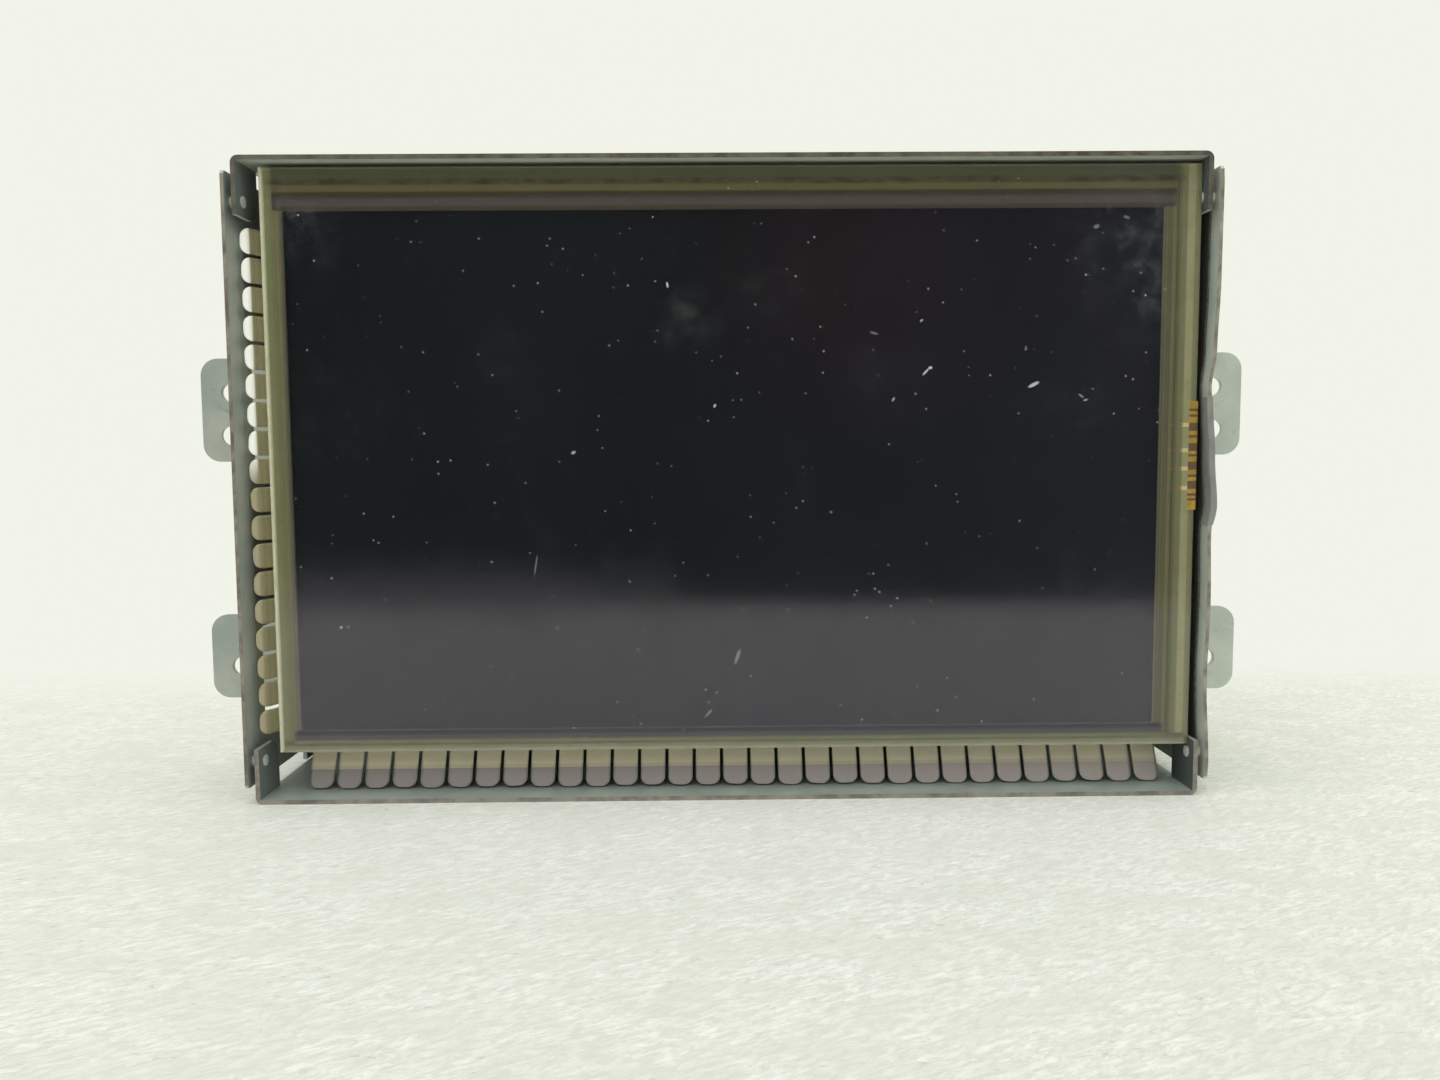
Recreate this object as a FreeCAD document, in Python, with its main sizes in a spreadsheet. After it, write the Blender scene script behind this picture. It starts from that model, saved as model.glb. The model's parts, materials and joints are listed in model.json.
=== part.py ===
"""In-dash navigation display unit: steel chassis, touch screen, display module and control board.

X runs to the right as the driver sees the screen, Y runs back into the dashboard and Z runs up.
The origin is the middle of the unit's bottom, on the plane it stands on. Places along the depth
are given from the front edge of the chassis plates. All sizes are in millimetres.
"""
import FreeCAD, Part
import os
import Sketcher

doc = FreeCAD.newDocument("display_unit")
sheet = doc.addObject("Spreadsheet::Sheet", "Dimensions")
aliases = []
nodes = []


class Size:
    """A number together with its formula on the spreadsheet."""

    def __init__(self, value, formula=None):
        self.value = float(value)
        self.formula = formula or f"({self.value})"
        self.driven = formula is not None

    def combine(self, value, formula, other):
        driven = self.driven or other.driven
        return Size(value, formula if driven else None)

    def __add__(self, other):
        other = size(other)
        return self.combine(self.value + other.value, f"({self.formula} + {other.formula})", other)

    def __sub__(self, other):
        other = size(other)
        return self.combine(self.value - other.value, f"({self.formula} - {other.formula})", other)

    def __mul__(self, other):
        other = size(other)
        return self.combine(self.value * other.value, f"({self.formula} * {other.formula})", other)

    def __truediv__(self, other):
        other = size(other)
        return self.combine(self.value / other.value, f"({self.formula} / {other.formula})", other)

    def __radd__(self, other):
        return size(other) + self

    def __rsub__(self, other):
        return size(other) - self

    def __rmul__(self, other):
        return size(other) * self

    def __neg__(self):
        return size(-1) * self


def size(number):
    """Return a number as a Size."""
    return number if isinstance(number, Size) else Size(number)


def dimension(alias, value):
    """Enter a driving dimension on the spreadsheet and return it."""
    aliases.append(alias)
    row = len(aliases)
    sheet.set(f"A{row}", alias)
    sheet.set(f"B{row}", str(value))
    sheet.setAlias(f"B{row}", alias)
    return Size(value, f"Dimensions.{alias}")


# ---------------------------------------------------------------------------------------------
# Driving dimensions
# ---------------------------------------------------------------------------------------------

# Chassis
frame_width = dimension("FrameWidth", 166.0)
frame_height = dimension("FrameHeight", 111.5)
unit_depth = dimension("UnitDepth", 38.0)
gauge = dimension("PlateGauge", 0.8)
connector_stand_out = dimension("ConnectorStandOut", 1.6)
tab_height = dimension("CornerTabHeight", 9.0)
tab_depth = dimension("CornerTabDepth", 9.0)
tab_corner = dimension("CornerTabRadius", 3.0)
relief = dimension("BendReliefWidth", 1.2)
bend_radius = dimension("BendRadius", 1.3)
rear_flange = dimension("RearFlangeHeight", 8.0)
cover_wall_front = dimension("CoverWallFrontDepth", 26.0)

# Side brackets and their mounting ears
bracket_gauge = dimension("BracketGauge", 0.6)
bracket_inner = dimension("BracketInnerFace", 84.2)
bracket_bottom = dimension("BracketBottom", 2.85)
bracket_top = dimension("BracketTop", 109.05)
bracket_depth = dimension("BracketDepth", 34.0)
ear_reach = dimension("EarReach", 100.2)
ear_front = dimension("EarFrontDepth", 24.0)
ear_corner = dimension("EarCornerRadius", 3.3)
upper_ear_bottom = dimension("UpperEarBottom", 60.0)
upper_ear_top = dimension("UpperEarTop", 79.7)
lower_ear_bottom = dimension("LowerEarBottom", 13.9)
lower_ear_top = dimension("LowerEarTop", 30.3)
window_margin = dimension("LowerWindowMargin", 3.0)
ring_reach = dimension("RingHoleReach", 94.5)
upper_ring = dimension("UpperRingHeight", 73.2)
lower_ring = dimension("LowerRingHeight", 20.1)
ring_hole = dimension("RingHoleRadius", 1.8)
ring_rim = dimension("RingRimRadius", 3.4)
ring_stand = dimension("RingRimStand", 0.4)
plain_hole_reach = dimension("PlainHoleReach", 94.8)
plain_hole_height = dimension("PlainHoleHeight", 65.0)
plain_hole = dimension("PlainHoleRadius", 1.85)

# Touch panel
touch_left = dimension("TouchLeft", -79.2)
touch_right = dimension("TouchRight", 82.0)
touch_bottom = dimension("TouchBottom", 8.75)
touch_top = dimension("TouchTop", 109.95)
touch_front = dimension("TouchFrontDepth", 2.0)
film_gauge = dimension("TouchFilmGauge", 0.2)
glass_gauge = dimension("TouchGlassGauge", 1.1)
gasket_gauge = dimension("GasketGauge", 0.8)
gasket_width = dimension("GasketWidth", 1.6)
tail_centre = dimension("TailCentreHeight", 60.0)
tail_width = dimension("TailWidth", 18.9)
tail_neck = dimension("TailNeckWidth", 9.0)
flex_gauge = dimension("FlexGauge", 0.2)

# Display module, seven inches across the diagonal
lcd_left = dimension("DisplayLeft", -79.0)
lcd_right = dimension("DisplayRight", 81.5)
lcd_bottom = dimension("DisplayBottom", 8.95)
lcd_top = dimension("DisplayTop", 109.75)
view_left = dimension("ViewLeft", -76.1)
view_right = dimension("ViewRight", 76.6)
view_bottom = dimension("ViewBottom", 10.75)
view_top = dimension("ViewTop", 103.25)
bezel_gauge = dimension("DisplayBezelGauge", 0.4)
cell_gauge = dimension("GlassCellGauge", 1.2)
guide_gauge = dimension("LightGuideGauge", 3.0)
film_sheet = dimension("FilmSheetGauge", 0.3)
polariser_gauge = dimension("PolariserGauge", 0.2)
reflector_gauge = dimension("ReflectorGauge", 0.2)
lcd_tray_gauge = dimension("DisplayTrayGauge", 0.5)
led_count = dimension("LedCount", 18)

# Spring finger strips
finger_pitch = dimension("FingerPitch", 5.0)
finger_gap = dimension("FingerGap", 0.6)
finger_tip = dimension("FingerTipRadius", 1.5)
finger_gauge = dimension("FingerGauge", 0.15)
left_fingers = dimension("LeftFingerCount", 18)
left_strip_bottom = dimension("LeftStripBottom", 10.85)
bottom_fingers = dimension("BottomFingerCount", 31)
bottom_strip_left = dimension("BottomStripLeft", -76.1)

# Holder behind the display
holder_gauge = dimension("HolderGauge", 0.5)
holder_front = dimension("HolderFrontDepth", 5.5)
holder_back = dimension("HolderBackDepth", 14.2)
fit_gap = dimension("FitGap", 0.1)

# Liner and tape on the right bracket
liner_gauge = dimension("LinerGauge", 0.3)
liner_front = dimension("LinerFrontDepth", 3.2)
liner_back = dimension("LinerBackDepth", 14.0)
liner_bottom = dimension("LinerBottom", 9.0)
liner_top = dimension("LinerTop", 102.5)
tape_gauge = dimension("TapeGauge", 0.25)
tape_leg = dimension("TapeLegDepth", 3.0)
tape_bottom = dimension("TapeBottom", 48.0)
tape_top = dimension("TapeTop", 70.0)

# Control board
board_front = dimension("BoardFrontDepth", 21.0)
board_gauge = dimension("BoardGauge", 1.6)
board_left = dimension("BoardLeft", -74.0)
board_right = dimension("BoardRight", 76.0)
board_bottom = dimension("BoardBottom", 8.0)
board_top = dimension("BoardTop", 104.0)

# Fasteners
screw_shank = dimension("ScrewShankRadius", 1.45)
screw_hole = dimension("ScrewHoleRadius", 1.55)
screw_head = dimension("ScrewHeadRadius", 2.8)
head_height = dimension("ScrewHeadHeight", 1.6)
rivet_depth = dimension("RivetDepth", 2.9)
rivet_inset = dimension("RivetInset", 7.2)
rivet_shank = dimension("RivetShankRadius", 0.6)
rivet_head = dimension("RivetHeadRadius", 1.0)
rivet_stand = dimension("RivetHeadHeight", 0.15)

doc.recompute()

# Places that follow from them
half_width = frame_width / 2
cover_back = unit_depth - connector_stand_out
cover_inner = cover_back - gauge
bracket_outer = bracket_inner + bracket_gauge
glass_front = touch_front + film_gauge
gasket_front = glass_front + glass_gauge
bezel_front = gasket_front + gasket_gauge
polariser_front = bezel_front + bezel_gauge
cell_front = polariser_front + polariser_gauge
rear_polariser_front = cell_front + cell_gauge
films_front = rear_polariser_front + polariser_gauge + fit_gap
guide_front = films_front + 2 * film_sheet
reflector_front = guide_front + guide_gauge
reflector_back = reflector_front + reflector_gauge
lcd_tray_back = reflector_back + fit_gap * 2 + lcd_tray_gauge
holder_rear = holder_back + holder_gauge
board_rear = board_front + board_gauge


# ---------------------------------------------------------------------------------------------
# Drawing helpers
# ---------------------------------------------------------------------------------------------

AXIS_TURNS = {
    "x": FreeCAD.Rotation(FreeCAD.Vector(0, 1, 0), 90),
    "-x": FreeCAD.Rotation(FreeCAD.Vector(0, 1, 0), -90),
    "y": FreeCAD.Rotation(FreeCAD.Vector(1, 0, 0), -90),
    "-y": FreeCAD.Rotation(FreeCAD.Vector(1, 0, 0), 90),
    "z": FreeCAD.Rotation(),
}


def bind(thing, path, number):
    """Tie a property of a document object to a formula on the spreadsheet."""
    thing.setExpression(path, size(number).formula)


def put(thing, x, depth, z):
    """Tie an object's place to formulas; the depth counts from the front of the chassis."""
    bind(thing, "Placement.Base.x", x)
    bind(thing, "Placement.Base.y", size(depth) - unit_depth / 2)
    bind(thing, "Placement.Base.z", z)
    return thing


def node(thing, name):
    """Name a finished sub-part and list it for export."""
    thing.Label = name
    nodes.append(thing)
    return thing


def slab(name, x, depth, z):
    """A block between a low and a high place on each axis."""
    block = doc.addObject("Part::Box", name)
    bind(block, "Length", size(x[1]) - x[0])
    bind(block, "Width", size(depth[1]) - depth[0])
    bind(block, "Height", size(z[1]) - z[0])
    return put(block, x[0], depth[0], z[0])


def rod(name, axis, radius, length, x, depth, z):
    """A round bar that starts at a place and runs along an axis."""
    bar = doc.addObject("Part::Cylinder", name)
    bind(bar, "Radius", radius)
    bind(bar, "Height", length)
    bar.Placement = FreeCAD.Placement(FreeCAD.Vector(), AXIS_TURNS[axis])
    return put(bar, x, depth, z)


def joined(name, pieces):
    """Melt pieces that touch into one solid."""
    whole = doc.addObject("Part::MultiFuse", name)
    whole.Shapes = pieces
    whole.Refine = True
    return whole


def group(name, pieces):
    """Keep identical pieces together as separate solids of one sub-part."""
    family = doc.addObject("Part::Compound", name)
    family.Links = pieces
    return family


def without(name, base, tools):
    """Cut tools away from a base."""
    tool = tools[0] if len(tools) == 1 else group(f"{name}_tools", tools)
    rest = doc.addObject("Part::Cut", name)
    rest.Base = base
    rest.Tool = tool
    return rest


def rounded(name, base, radius, picks):
    """Round the edges of a base that the pick function accepts."""
    doc.recompute()
    softened = doc.addObject("Part::Fillet", name)
    softened.Base = base
    edges = enumerate(base.Shape.Edges, start=1)
    softened.Edges = [(index, radius, radius) for index, edge in edges if picks(edge)]
    return softened


def frame_ring(name, outer, inner, depth):
    """A flat frame: an outer rectangle with an inner one cut out, both (left, right, low, high)."""
    plate = slab(f"{name}_plate", outer[:2], depth, outer[2:])
    hole = slab(f"{name}_hole", inner[:2], (size(depth[0]) - 1, size(depth[1]) + 1), inner[2:])
    return without(name, plate, [hole])


def inset(outline_box, margin):
    """Shrink a rectangle (left, right, low, high) by a margin on every side."""
    left, right, low, high = outline_box
    return (left + margin, right - margin, low + margin, high - margin)


# Sketches and features of a body ---------------------------------------------------------------

def new_body(name):
    """Start a PartDesign body that is a finished sub-part."""
    return node(doc.addObject("PartDesign::Body", name), name)


def sketch_on(body, plane, offset=0):
    """Start a sketch on one of the body's own planes, moved along the plane's normal."""
    sketch = body.newObject("Sketcher::SketchObject", f"{body.Label}_sketch")
    planes = body.Origin.OriginFeatures
    support = next(feature for feature in planes if feature.Role == plane)
    sketch.AttachmentSupport = [(support, "")]
    sketch.MapMode = "FlatFace"
    bind(sketch, "AttachmentOffset.Base.z", offset)
    return sketch


def front_sketch(body, depth):
    """Start a sketch that faces the driver, at a depth behind the front edge."""
    return sketch_on(body, "XZ_Plane", unit_depth / 2 - depth)


def along(depth):
    """The Y of a depth, for sketches that lie along the depth."""
    return size(depth) - unit_depth / 2


def fix(sketch, constraint, number):
    """Add a measured constraint and tie it to its formula."""
    index = sketch.addConstraint(constraint)
    if size(number).driven:
        bind(sketch, f"Constraints[{index}]", number)


def pin_point(sketch, element, point, x, y):
    """Hold a point of a sketch element at a place."""
    x = size(x)
    y = size(y)
    fix(sketch, Sketcher.Constraint("DistanceX", -1, 1, element, point, x.value), x)
    fix(sketch, Sketcher.Constraint("DistanceY", -1, 1, element, point, y.value), y)


def toward(corner, other, distance):
    """The point at a distance from a corner along a level or upright side to the next corner."""
    run = other[0].value - corner[0].value
    rise = other[1].value - corner[1].value
    if abs(run) > abs(rise):
        return (corner[0] + distance * (1 if run > 0 else -1), corner[1])
    return (corner[0], corner[1] + distance * (1 if rise > 0 else -1))


def stops_of(corners):
    """Expand rounded corners into an arc's two ends; each stop is (x, y, arc or None)."""
    points = [tuple(size(number) for number in corner) for corner in corners]
    stops = []
    for index, corner in enumerate(points):
        if len(corner) == 2:
            stops.append((corner[0], corner[1], None))
            continue
        radius = corner[2]
        start = toward(corner, points[index - 1], radius)
        finish = toward(corner, points[(index + 1) % len(points)], radius)
        centre = (start[0] + finish[0] - corner[0], start[1] + finish[1] - corner[1])
        stops.append((start[0], start[1], (centre, radius)))
        stops.append((finish[0], finish[1], None))
    return stops


def draw_side(sketch, stop, following):
    """Draw one side of an outline and return it with the numbers of its first and last points."""
    start = FreeCAD.Vector(stop[0].value, stop[1].value, 0)
    finish = FreeCAD.Vector(following[0].value, following[1].value, 0)
    if stop[2] is None:
        return sketch.addGeometry(Part.LineSegment(start, finish)), 1, 2
    (centre_x, centre_y), radius = stop[2]
    centre = FreeCAD.Vector(centre_x.value, centre_y.value, 0)
    circle = Part.Circle(centre, FreeCAD.Vector(0, 0, 1), radius.value)
    start_angle = circle.parameter(start)
    finish_angle = circle.parameter(finish)
    anticlockwise = (start - centre).cross(finish - centre).z > 0
    if anticlockwise:
        element = sketch.addGeometry(Part.ArcOfCircle(circle, start_angle, finish_angle))
    else:
        element = sketch.addGeometry(Part.ArcOfCircle(circle, finish_angle, start_angle))
    fix(sketch, Sketcher.Constraint("Radius", element, radius.value), radius)
    return (element, 1, 2) if anticlockwise else (element, 2, 1)


def outline(sketch, corners):
    """Draw a closed outline; a corner (x, y, radius) between level and upright sides is rounded."""
    stops = stops_of(corners)
    sides = []
    for index, stop in enumerate(stops):
        sides.append(draw_side(sketch, stop, stops[(index + 1) % len(stops)]))
    for index, (element, first, last) in enumerate(sides):
        following, following_first = sides[(index + 1) % len(sides)][:2]
        sketch.addConstraint(Sketcher.Constraint("Coincident", element, last, following, following_first))
        pin_point(sketch, element, first, stops[index][0], stops[index][1])


def rectangle(sketch, x, y, radius=None):
    """Draw a rectangle between two places on each axis, with rounded corners if asked."""
    corners = [(x[0], y[0]), (x[1], y[0]), (x[1], y[1]), (x[0], y[1])]
    if radius is not None:
        corners = [corner + (radius,) for corner in corners]
    outline(sketch, corners)


def circle(sketch, x, y, radius):
    """Draw a circle round a place."""
    middle = FreeCAD.Vector(size(x).value, size(y).value, 0)
    element = sketch.addGeometry(Part.Circle(middle, FreeCAD.Vector(0, 0, 1), size(radius).value))
    pin_point(sketch, element, 3, x, y)
    fix(sketch, Sketcher.Constraint("Radius", element, size(radius).value), radius)


def pad(body, sketch, length, backwards=False):
    """Raise a sketch into material, along its normal or against it."""
    feature = body.newObject("PartDesign::Pad", f"{body.Label}_pad")
    feature.Profile = sketch
    bind(feature, "Length", length)
    feature.Reversed = backwards
    return feature


def pocket(body, sketch, length=None, backwards=False):
    """Cut a sketch out of the body, to a length against its normal or right through both ways."""
    feature = body.newObject("PartDesign::Pocket", f"{body.Label}_pocket")
    feature.Profile = sketch
    if length is None:
        feature.Type = "ThroughAll"
        feature.SideType = "Symmetric"
    else:
        bind(feature, "Length", length)
        feature.Reversed = backwards
    return feature


def fold(body, radius, picks):
    """Round the body's edges that the pick function accepts, as a bent sheet is round."""
    doc.recompute()
    solid = body.Tip
    edges = enumerate(solid.Shape.Edges, start=1)
    feature = body.newObject("PartDesign::Fillet", f"{body.Label}_fold")
    feature.Base = (solid, [f"Edge{index}" for index, edge in edges if picks(edge.BoundBox)])
    bind(feature, "Radius", radius)


def repeat(body, feature, sketch, direction, pitch, count):
    """Repeat a feature in a row along a sketch axis."""
    row = body.newObject("PartDesign::LinearPattern", f"{body.Label}_row")
    row.Originals = [feature]
    row.Direction = (sketch, [direction])
    bind(row, "Length", size(pitch) * (size(count) - 1))
    bind(row, "Occurrences", count)
    body.Tip = row
    return row


# ---------------------------------------------------------------------------------------------
# Fasteners
# ---------------------------------------------------------------------------------------------

def pan_head_screw(name, axis, shank_length, x, depth, z):
    """A cross-recess pan-head screw whose shank starts under its head and runs along the axis."""
    shank = rod(f"{name}_shank", axis, screw_shank, shank_length, x, depth, z)
    back = {"x": "-x", "-x": "x", "y": "-y", "-y": "y"}[axis]
    head = rod(f"{name}_head", back, screw_head, head_height, x, depth, z)
    dome = rounded(f"{name}_dome", head, 0.9, lambda edge: is_head_rim(edge, head, back))
    recess_half = head_height * 0.85
    arms = []
    for long_side, short_side in ((recess_half, 0.35), (0.35, recess_half)):
        arms.append(recess_arm(name, back, size(long_side), size(short_side), x, depth, z))
    return without(name, joined(f"{name}_blank", [dome, shank]), arms)


def is_head_rim(edge, head, back):
    """Tell whether an edge is the outer rim of a screw head."""
    tip = head.Placement.Base + AXIS_TURNS[back].multVec(FreeCAD.Vector(0, 0, head.Height.Value))
    round_edge = isinstance(edge.Curve, Part.Circle)
    return round_edge and edge.Curve.Center.distanceToPoint(tip) < 0.01


def recess_arm(name, back, half_a, half_b, x, depth, z):
    """One arm of the cross recess in a screw head."""
    sign = -1 if back.startswith("-") else 1
    near = head_height * 0.4 * sign
    far = (head_height + 1) * sign
    low, high = (near, far) if sign > 0 else (far, near)
    side = (-half_a, half_a)
    rise = (size(z) - half_b, size(z) + half_b)
    if back.endswith("x"):
        return slab(f"{name}_arm", (size(x) + low, size(x) + high),
                    (size(depth) + side[0], size(depth) + side[1]), rise)
    return slab(f"{name}_arm", (size(x) + side[0], size(x) + side[1]),
                (size(depth) + low, size(depth) + high), rise)


def corner_rivets():
    """Four shouldered rivets that hold the side brackets to the corner tabs."""
    rivets = []
    for side in (-1, 1):
        axis = "x" if side > 0 else "-x"
        inner = half_width - gauge
        for height in (rivet_inset, frame_height - rivet_inset):
            name = f"rivet_{len(rivets) + 1}"
            head = rod(f"{name}_head", axis, rivet_head, rivet_stand,
                       (inner - rivet_stand) * side, rivet_depth, height)
            shank = rod(f"{name}_shank", axis, rivet_shank, bracket_outer - inner,
                        inner * side, rivet_depth, height)
            collar = rod(f"{name}_collar", axis, rivet_head, bracket_inner - half_width,
                         half_width * side, rivet_depth, height)
            end = rod(f"{name}_end", axis, rivet_head, rivet_stand,
                      bracket_outer * side, rivet_depth, height)
            rivets.append(joined(name, [head, shank, collar, end]))
    node(group("corner_rivet_set", rivets), "corner_rivets")


SIDE_SCREW_HEIGHTS = (40.0, 90.0)
HOLDER_SCREW_DEPTH = 18.0
COVER_SCREW_DEPTH = 29.0


def side_screws():
    """Screws through the side brackets into the display holder and the rear cover."""
    screws = []
    for depth in (HOLDER_SCREW_DEPTH, COVER_SCREW_DEPTH):
        for side in (-1, 1):
            axis = "-x" if side > 0 else "x"
            for height in SIDE_SCREW_HEIGHTS:
                name = f"side_screw_{len(screws) + 1}"
                screws.append(pan_head_screw(name, axis, 3.0, bracket_outer * side, depth, height))
    node(group("side_screw_set", screws), "side_screws")


COVER_SCREW_PLACES = (-62.0, 0.0, 62.0)
COVER_SCREW_INSET = 5.0


def cover_screws():
    """Screws through the rear cover into the flanges of the top and bottom plates."""
    screws = []
    for height in (gauge + COVER_SCREW_INSET, frame_height - gauge - COVER_SCREW_INSET):
        for x in COVER_SCREW_PLACES:
            name = f"cover_screw_{len(screws) + 1}"
            screws.append(pan_head_screw(name, "-y", 3.2, x, cover_back, height))
    node(group("cover_screw_set", screws), "rear_cover_screws")


# ---------------------------------------------------------------------------------------------
# Chassis
# ---------------------------------------------------------------------------------------------

def chassis_plate(name, is_top):
    """A top or bottom plate with two folded corner tabs in front and a screw flange behind."""
    body = new_body(name)
    plane = frame_height - gauge if is_top else gauge
    inward = -1 if is_top else 1
    notch = half_width - gauge - 1.0
    plan = sketch_on(body, "XY_Plane", plane)
    right_edge = [(half_width, along(0)), (half_width, along(tab_depth)),
                  (notch, along(tab_depth)), (notch, along(tab_depth + relief)),
                  (half_width, along(tab_depth + relief)), (half_width, along(cover_inner - 0.05))]
    left_edge = [(-x, y) for x, y in reversed(right_edge)]
    outline(plan, right_edge + left_edge)
    pad(body, plan, gauge, backwards=not is_top)
    for side in (-1, 1):
        tab = sketch_on(body, "YZ_Plane", half_width * side)
        far = plane + tab_height * inward
        outline(tab, [(along(0), plane), (along(0), far), (along(tab_depth), far, tab_corner),
                      (along(tab_depth), plane)])
        circle(tab, along(rivet_depth), plane + (rivet_inset - gauge) * inward, rivet_shank)
        pad(body, tab, gauge, backwards=side > 0)
    flange = front_sketch(body, cover_inner - 0.05)
    heights = (plane, plane + rear_flange * inward)
    rectangle(flange, (-half_width + 6, half_width - 6), heights if inward > 0 else heights[::-1])
    for x in COVER_SCREW_PLACES:
        circle(flange, x, plane + COVER_SCREW_INSET * inward, screw_hole)
    pad(body, flange, gauge)
    outer = (plane - gauge * inward).value
    fold(body, bend_radius, lambda box: is_tab_bend(box, outer))


def is_at(low, length, place):
    """Tell whether an edge stays at a place on one axis, given its low end and length there."""
    return abs(low - place) < 0.01 and length < 0.01


def is_tab_bend(box, outer):
    """Tell whether an edge is the outer corner between a chassis plate and one of its tabs."""
    beside = is_at(abs(box.XMin), box.XLength, half_width.value)
    in_front = box.YMax < along(tab_depth).value + 0.01
    return is_at(box.ZMin, box.ZLength, outer) and beside and in_front


def ear_outline(sketch, side, low, high):
    """The outline of an ear that is folded out of the side bracket."""
    outline(sketch, [(bracket_inner * side, low), (ear_reach * side, low, ear_corner),
                     (ear_reach * side, high, ear_corner), (bracket_inner * side, high)])


BRACKET_NOSE = {"depth": 0.4, "height": 0.6}


def side_bracket(name, side, taped):
    """A side plate with two ears folded outward; a taped one steps back under its tape."""
    body = new_body(name)
    plate = sketch_on(body, "YZ_Plane", bracket_inner * side)
    nose = along(BRACKET_NOSE["depth"])
    corners = [(along(0), bracket_bottom + BRACKET_NOSE["height"]), (nose, bracket_bottom),
               (along(bracket_depth), bracket_bottom), (along(bracket_depth), bracket_top),
               (nose, bracket_top), (along(0), bracket_top - BRACKET_NOSE["height"])]
    if taped:
        corners += [(along(0), tape_top), (along(tape_gauge), tape_top),
                    (along(tape_gauge), tape_bottom), (along(0), tape_bottom)]
    outline(plate, corners)
    window_front = ear_front - (ear_reach - bracket_outer)
    window = (along(window_front), along(ear_front))
    rectangle(plate, window, (upper_ear_bottom, upper_ear_top))
    rectangle(plate, window, (lower_ear_bottom - window_margin, lower_ear_top))
    for height in (rivet_inset, frame_height - rivet_inset):
        circle(plate, along(rivet_depth), height, rivet_shank)
    for depth in (HOLDER_SCREW_DEPTH, COVER_SCREW_DEPTH):
        for height in SIDE_SCREW_HEIGHTS:
            circle(plate, along(depth), height, screw_hole)
    pad(body, plate, bracket_gauge, backwards=side < 0)
    ears = front_sketch(body, ear_front)
    ear_outline(ears, side, upper_ear_bottom, upper_ear_top)
    ear_outline(ears, side, lower_ear_bottom, lower_ear_top)
    for height in (upper_ring, lower_ring):
        circle(ears, ring_reach * side, height, ring_hole)
    circle(ears, plain_hole_reach * side, plain_hole_height, plain_hole)
    pad(body, ears, gauge, backwards=True)
    rims = front_sketch(body, ear_front)
    for height in (upper_ring, lower_ring):
        circle(rims, ring_reach * side, height, ring_rim)
        circle(rims, ring_reach * side, height, ring_hole)
    pad(body, rims, ring_stand)
    return body


def bracket_liner():
    """The black liner on the right bracket's inner face, behind the touch panel's tail."""
    node(slab("liner_sheet", (bracket_inner - liner_gauge, bracket_inner), (liner_front, liner_back),
              (liner_bottom, liner_top)), "right_bracket_liner")


def edge_tape():
    """Cloth tape folded over the right bracket's front edge, where the tail passes it."""
    body = new_body("edge_guard_tape")
    fold_line = sketch_on(body, "XY_Plane", tape_bottom)
    inner = bracket_inner - tape_gauge
    outer = bracket_outer + tape_gauge
    outline(fold_line, [
        (inner, along(0), tape_gauge), (outer, along(0), tape_gauge), (outer, along(tape_leg)),
        (bracket_outer, along(tape_leg)), (bracket_outer, along(tape_gauge)),
        (bracket_inner, along(tape_gauge)), (bracket_inner, along(tape_leg)), (inner, along(tape_leg))])
    pad(body, fold_line, tape_top - tape_bottom)
    return body


POWER_SOCKET = {"x": (-56.0, -30.0), "z": (16.0, 27.0)}
VIDEO_SOCKET = {"x": (-16.0, 0.0), "z": (16.0, 27.0)}
SOCKET_MARGIN = 0.4
VENT_WIDTH = 3.0
VENT_PITCH = 7.0
VENT_COUNT = 13
VENT_LEFT = -42.0
VENT_ROWS = ((68.0, 90.0), (40.0, 62.0))


def rear_cover():
    """A back plate with side walls, connector cut-outs and two rows of vent slots."""
    body = new_body("rear_cover")
    edge = bracket_inner - fit_gap
    back = front_sketch(body, cover_back)
    rectangle(back, (-edge, edge), (gauge + fit_gap, frame_height - gauge - fit_gap))
    for x in COVER_SCREW_PLACES:
        circle(back, x, gauge + COVER_SCREW_INSET, screw_hole)
        circle(back, x, frame_height - gauge - COVER_SCREW_INSET, screw_hole)
    for socket in (POWER_SOCKET, VIDEO_SOCKET):
        rectangle(back, (socket["x"][0] - SOCKET_MARGIN, socket["x"][1] + SOCKET_MARGIN),
                  (socket["z"][0] - SOCKET_MARGIN, socket["z"][1] + SOCKET_MARGIN))
    pad(body, back, gauge)
    for side in (-1, 1):
        wall = sketch_on(body, "YZ_Plane", edge * side)
        rectangle(wall, (along(cover_wall_front), along(cover_back)),
                  (gauge + fit_gap, frame_height - gauge - fit_gap))
        for height in SIDE_SCREW_HEIGHTS:
            circle(wall, along(COVER_SCREW_DEPTH), height, screw_hole)
        pad(body, wall, gauge, backwards=side > 0)
    fold(body, bend_radius, lambda box: is_cover_bend(box, edge.value))
    for row in VENT_ROWS:
        slot = front_sketch(body, cover_back)
        rectangle(slot, (VENT_LEFT, VENT_LEFT + VENT_WIDTH), row, VENT_WIDTH / 2 - 0.05)
        repeat(body, pocket(body, slot), slot, "H_Axis", VENT_PITCH, VENT_COUNT)
    return body


def is_cover_bend(box, edge):
    """Tell whether an edge is the upright outer corner between the cover's back and a wall."""
    at_side = is_at(abs(box.XMin), box.XLength, edge)
    at_back = is_at(box.YMin, box.YLength, along(cover_back).value)
    return at_side and at_back and box.ZLength > frame_height.value / 2


# ---------------------------------------------------------------------------------------------
# Touch panel
# ---------------------------------------------------------------------------------------------

TAIL_INSIDE = 2.4


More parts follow.
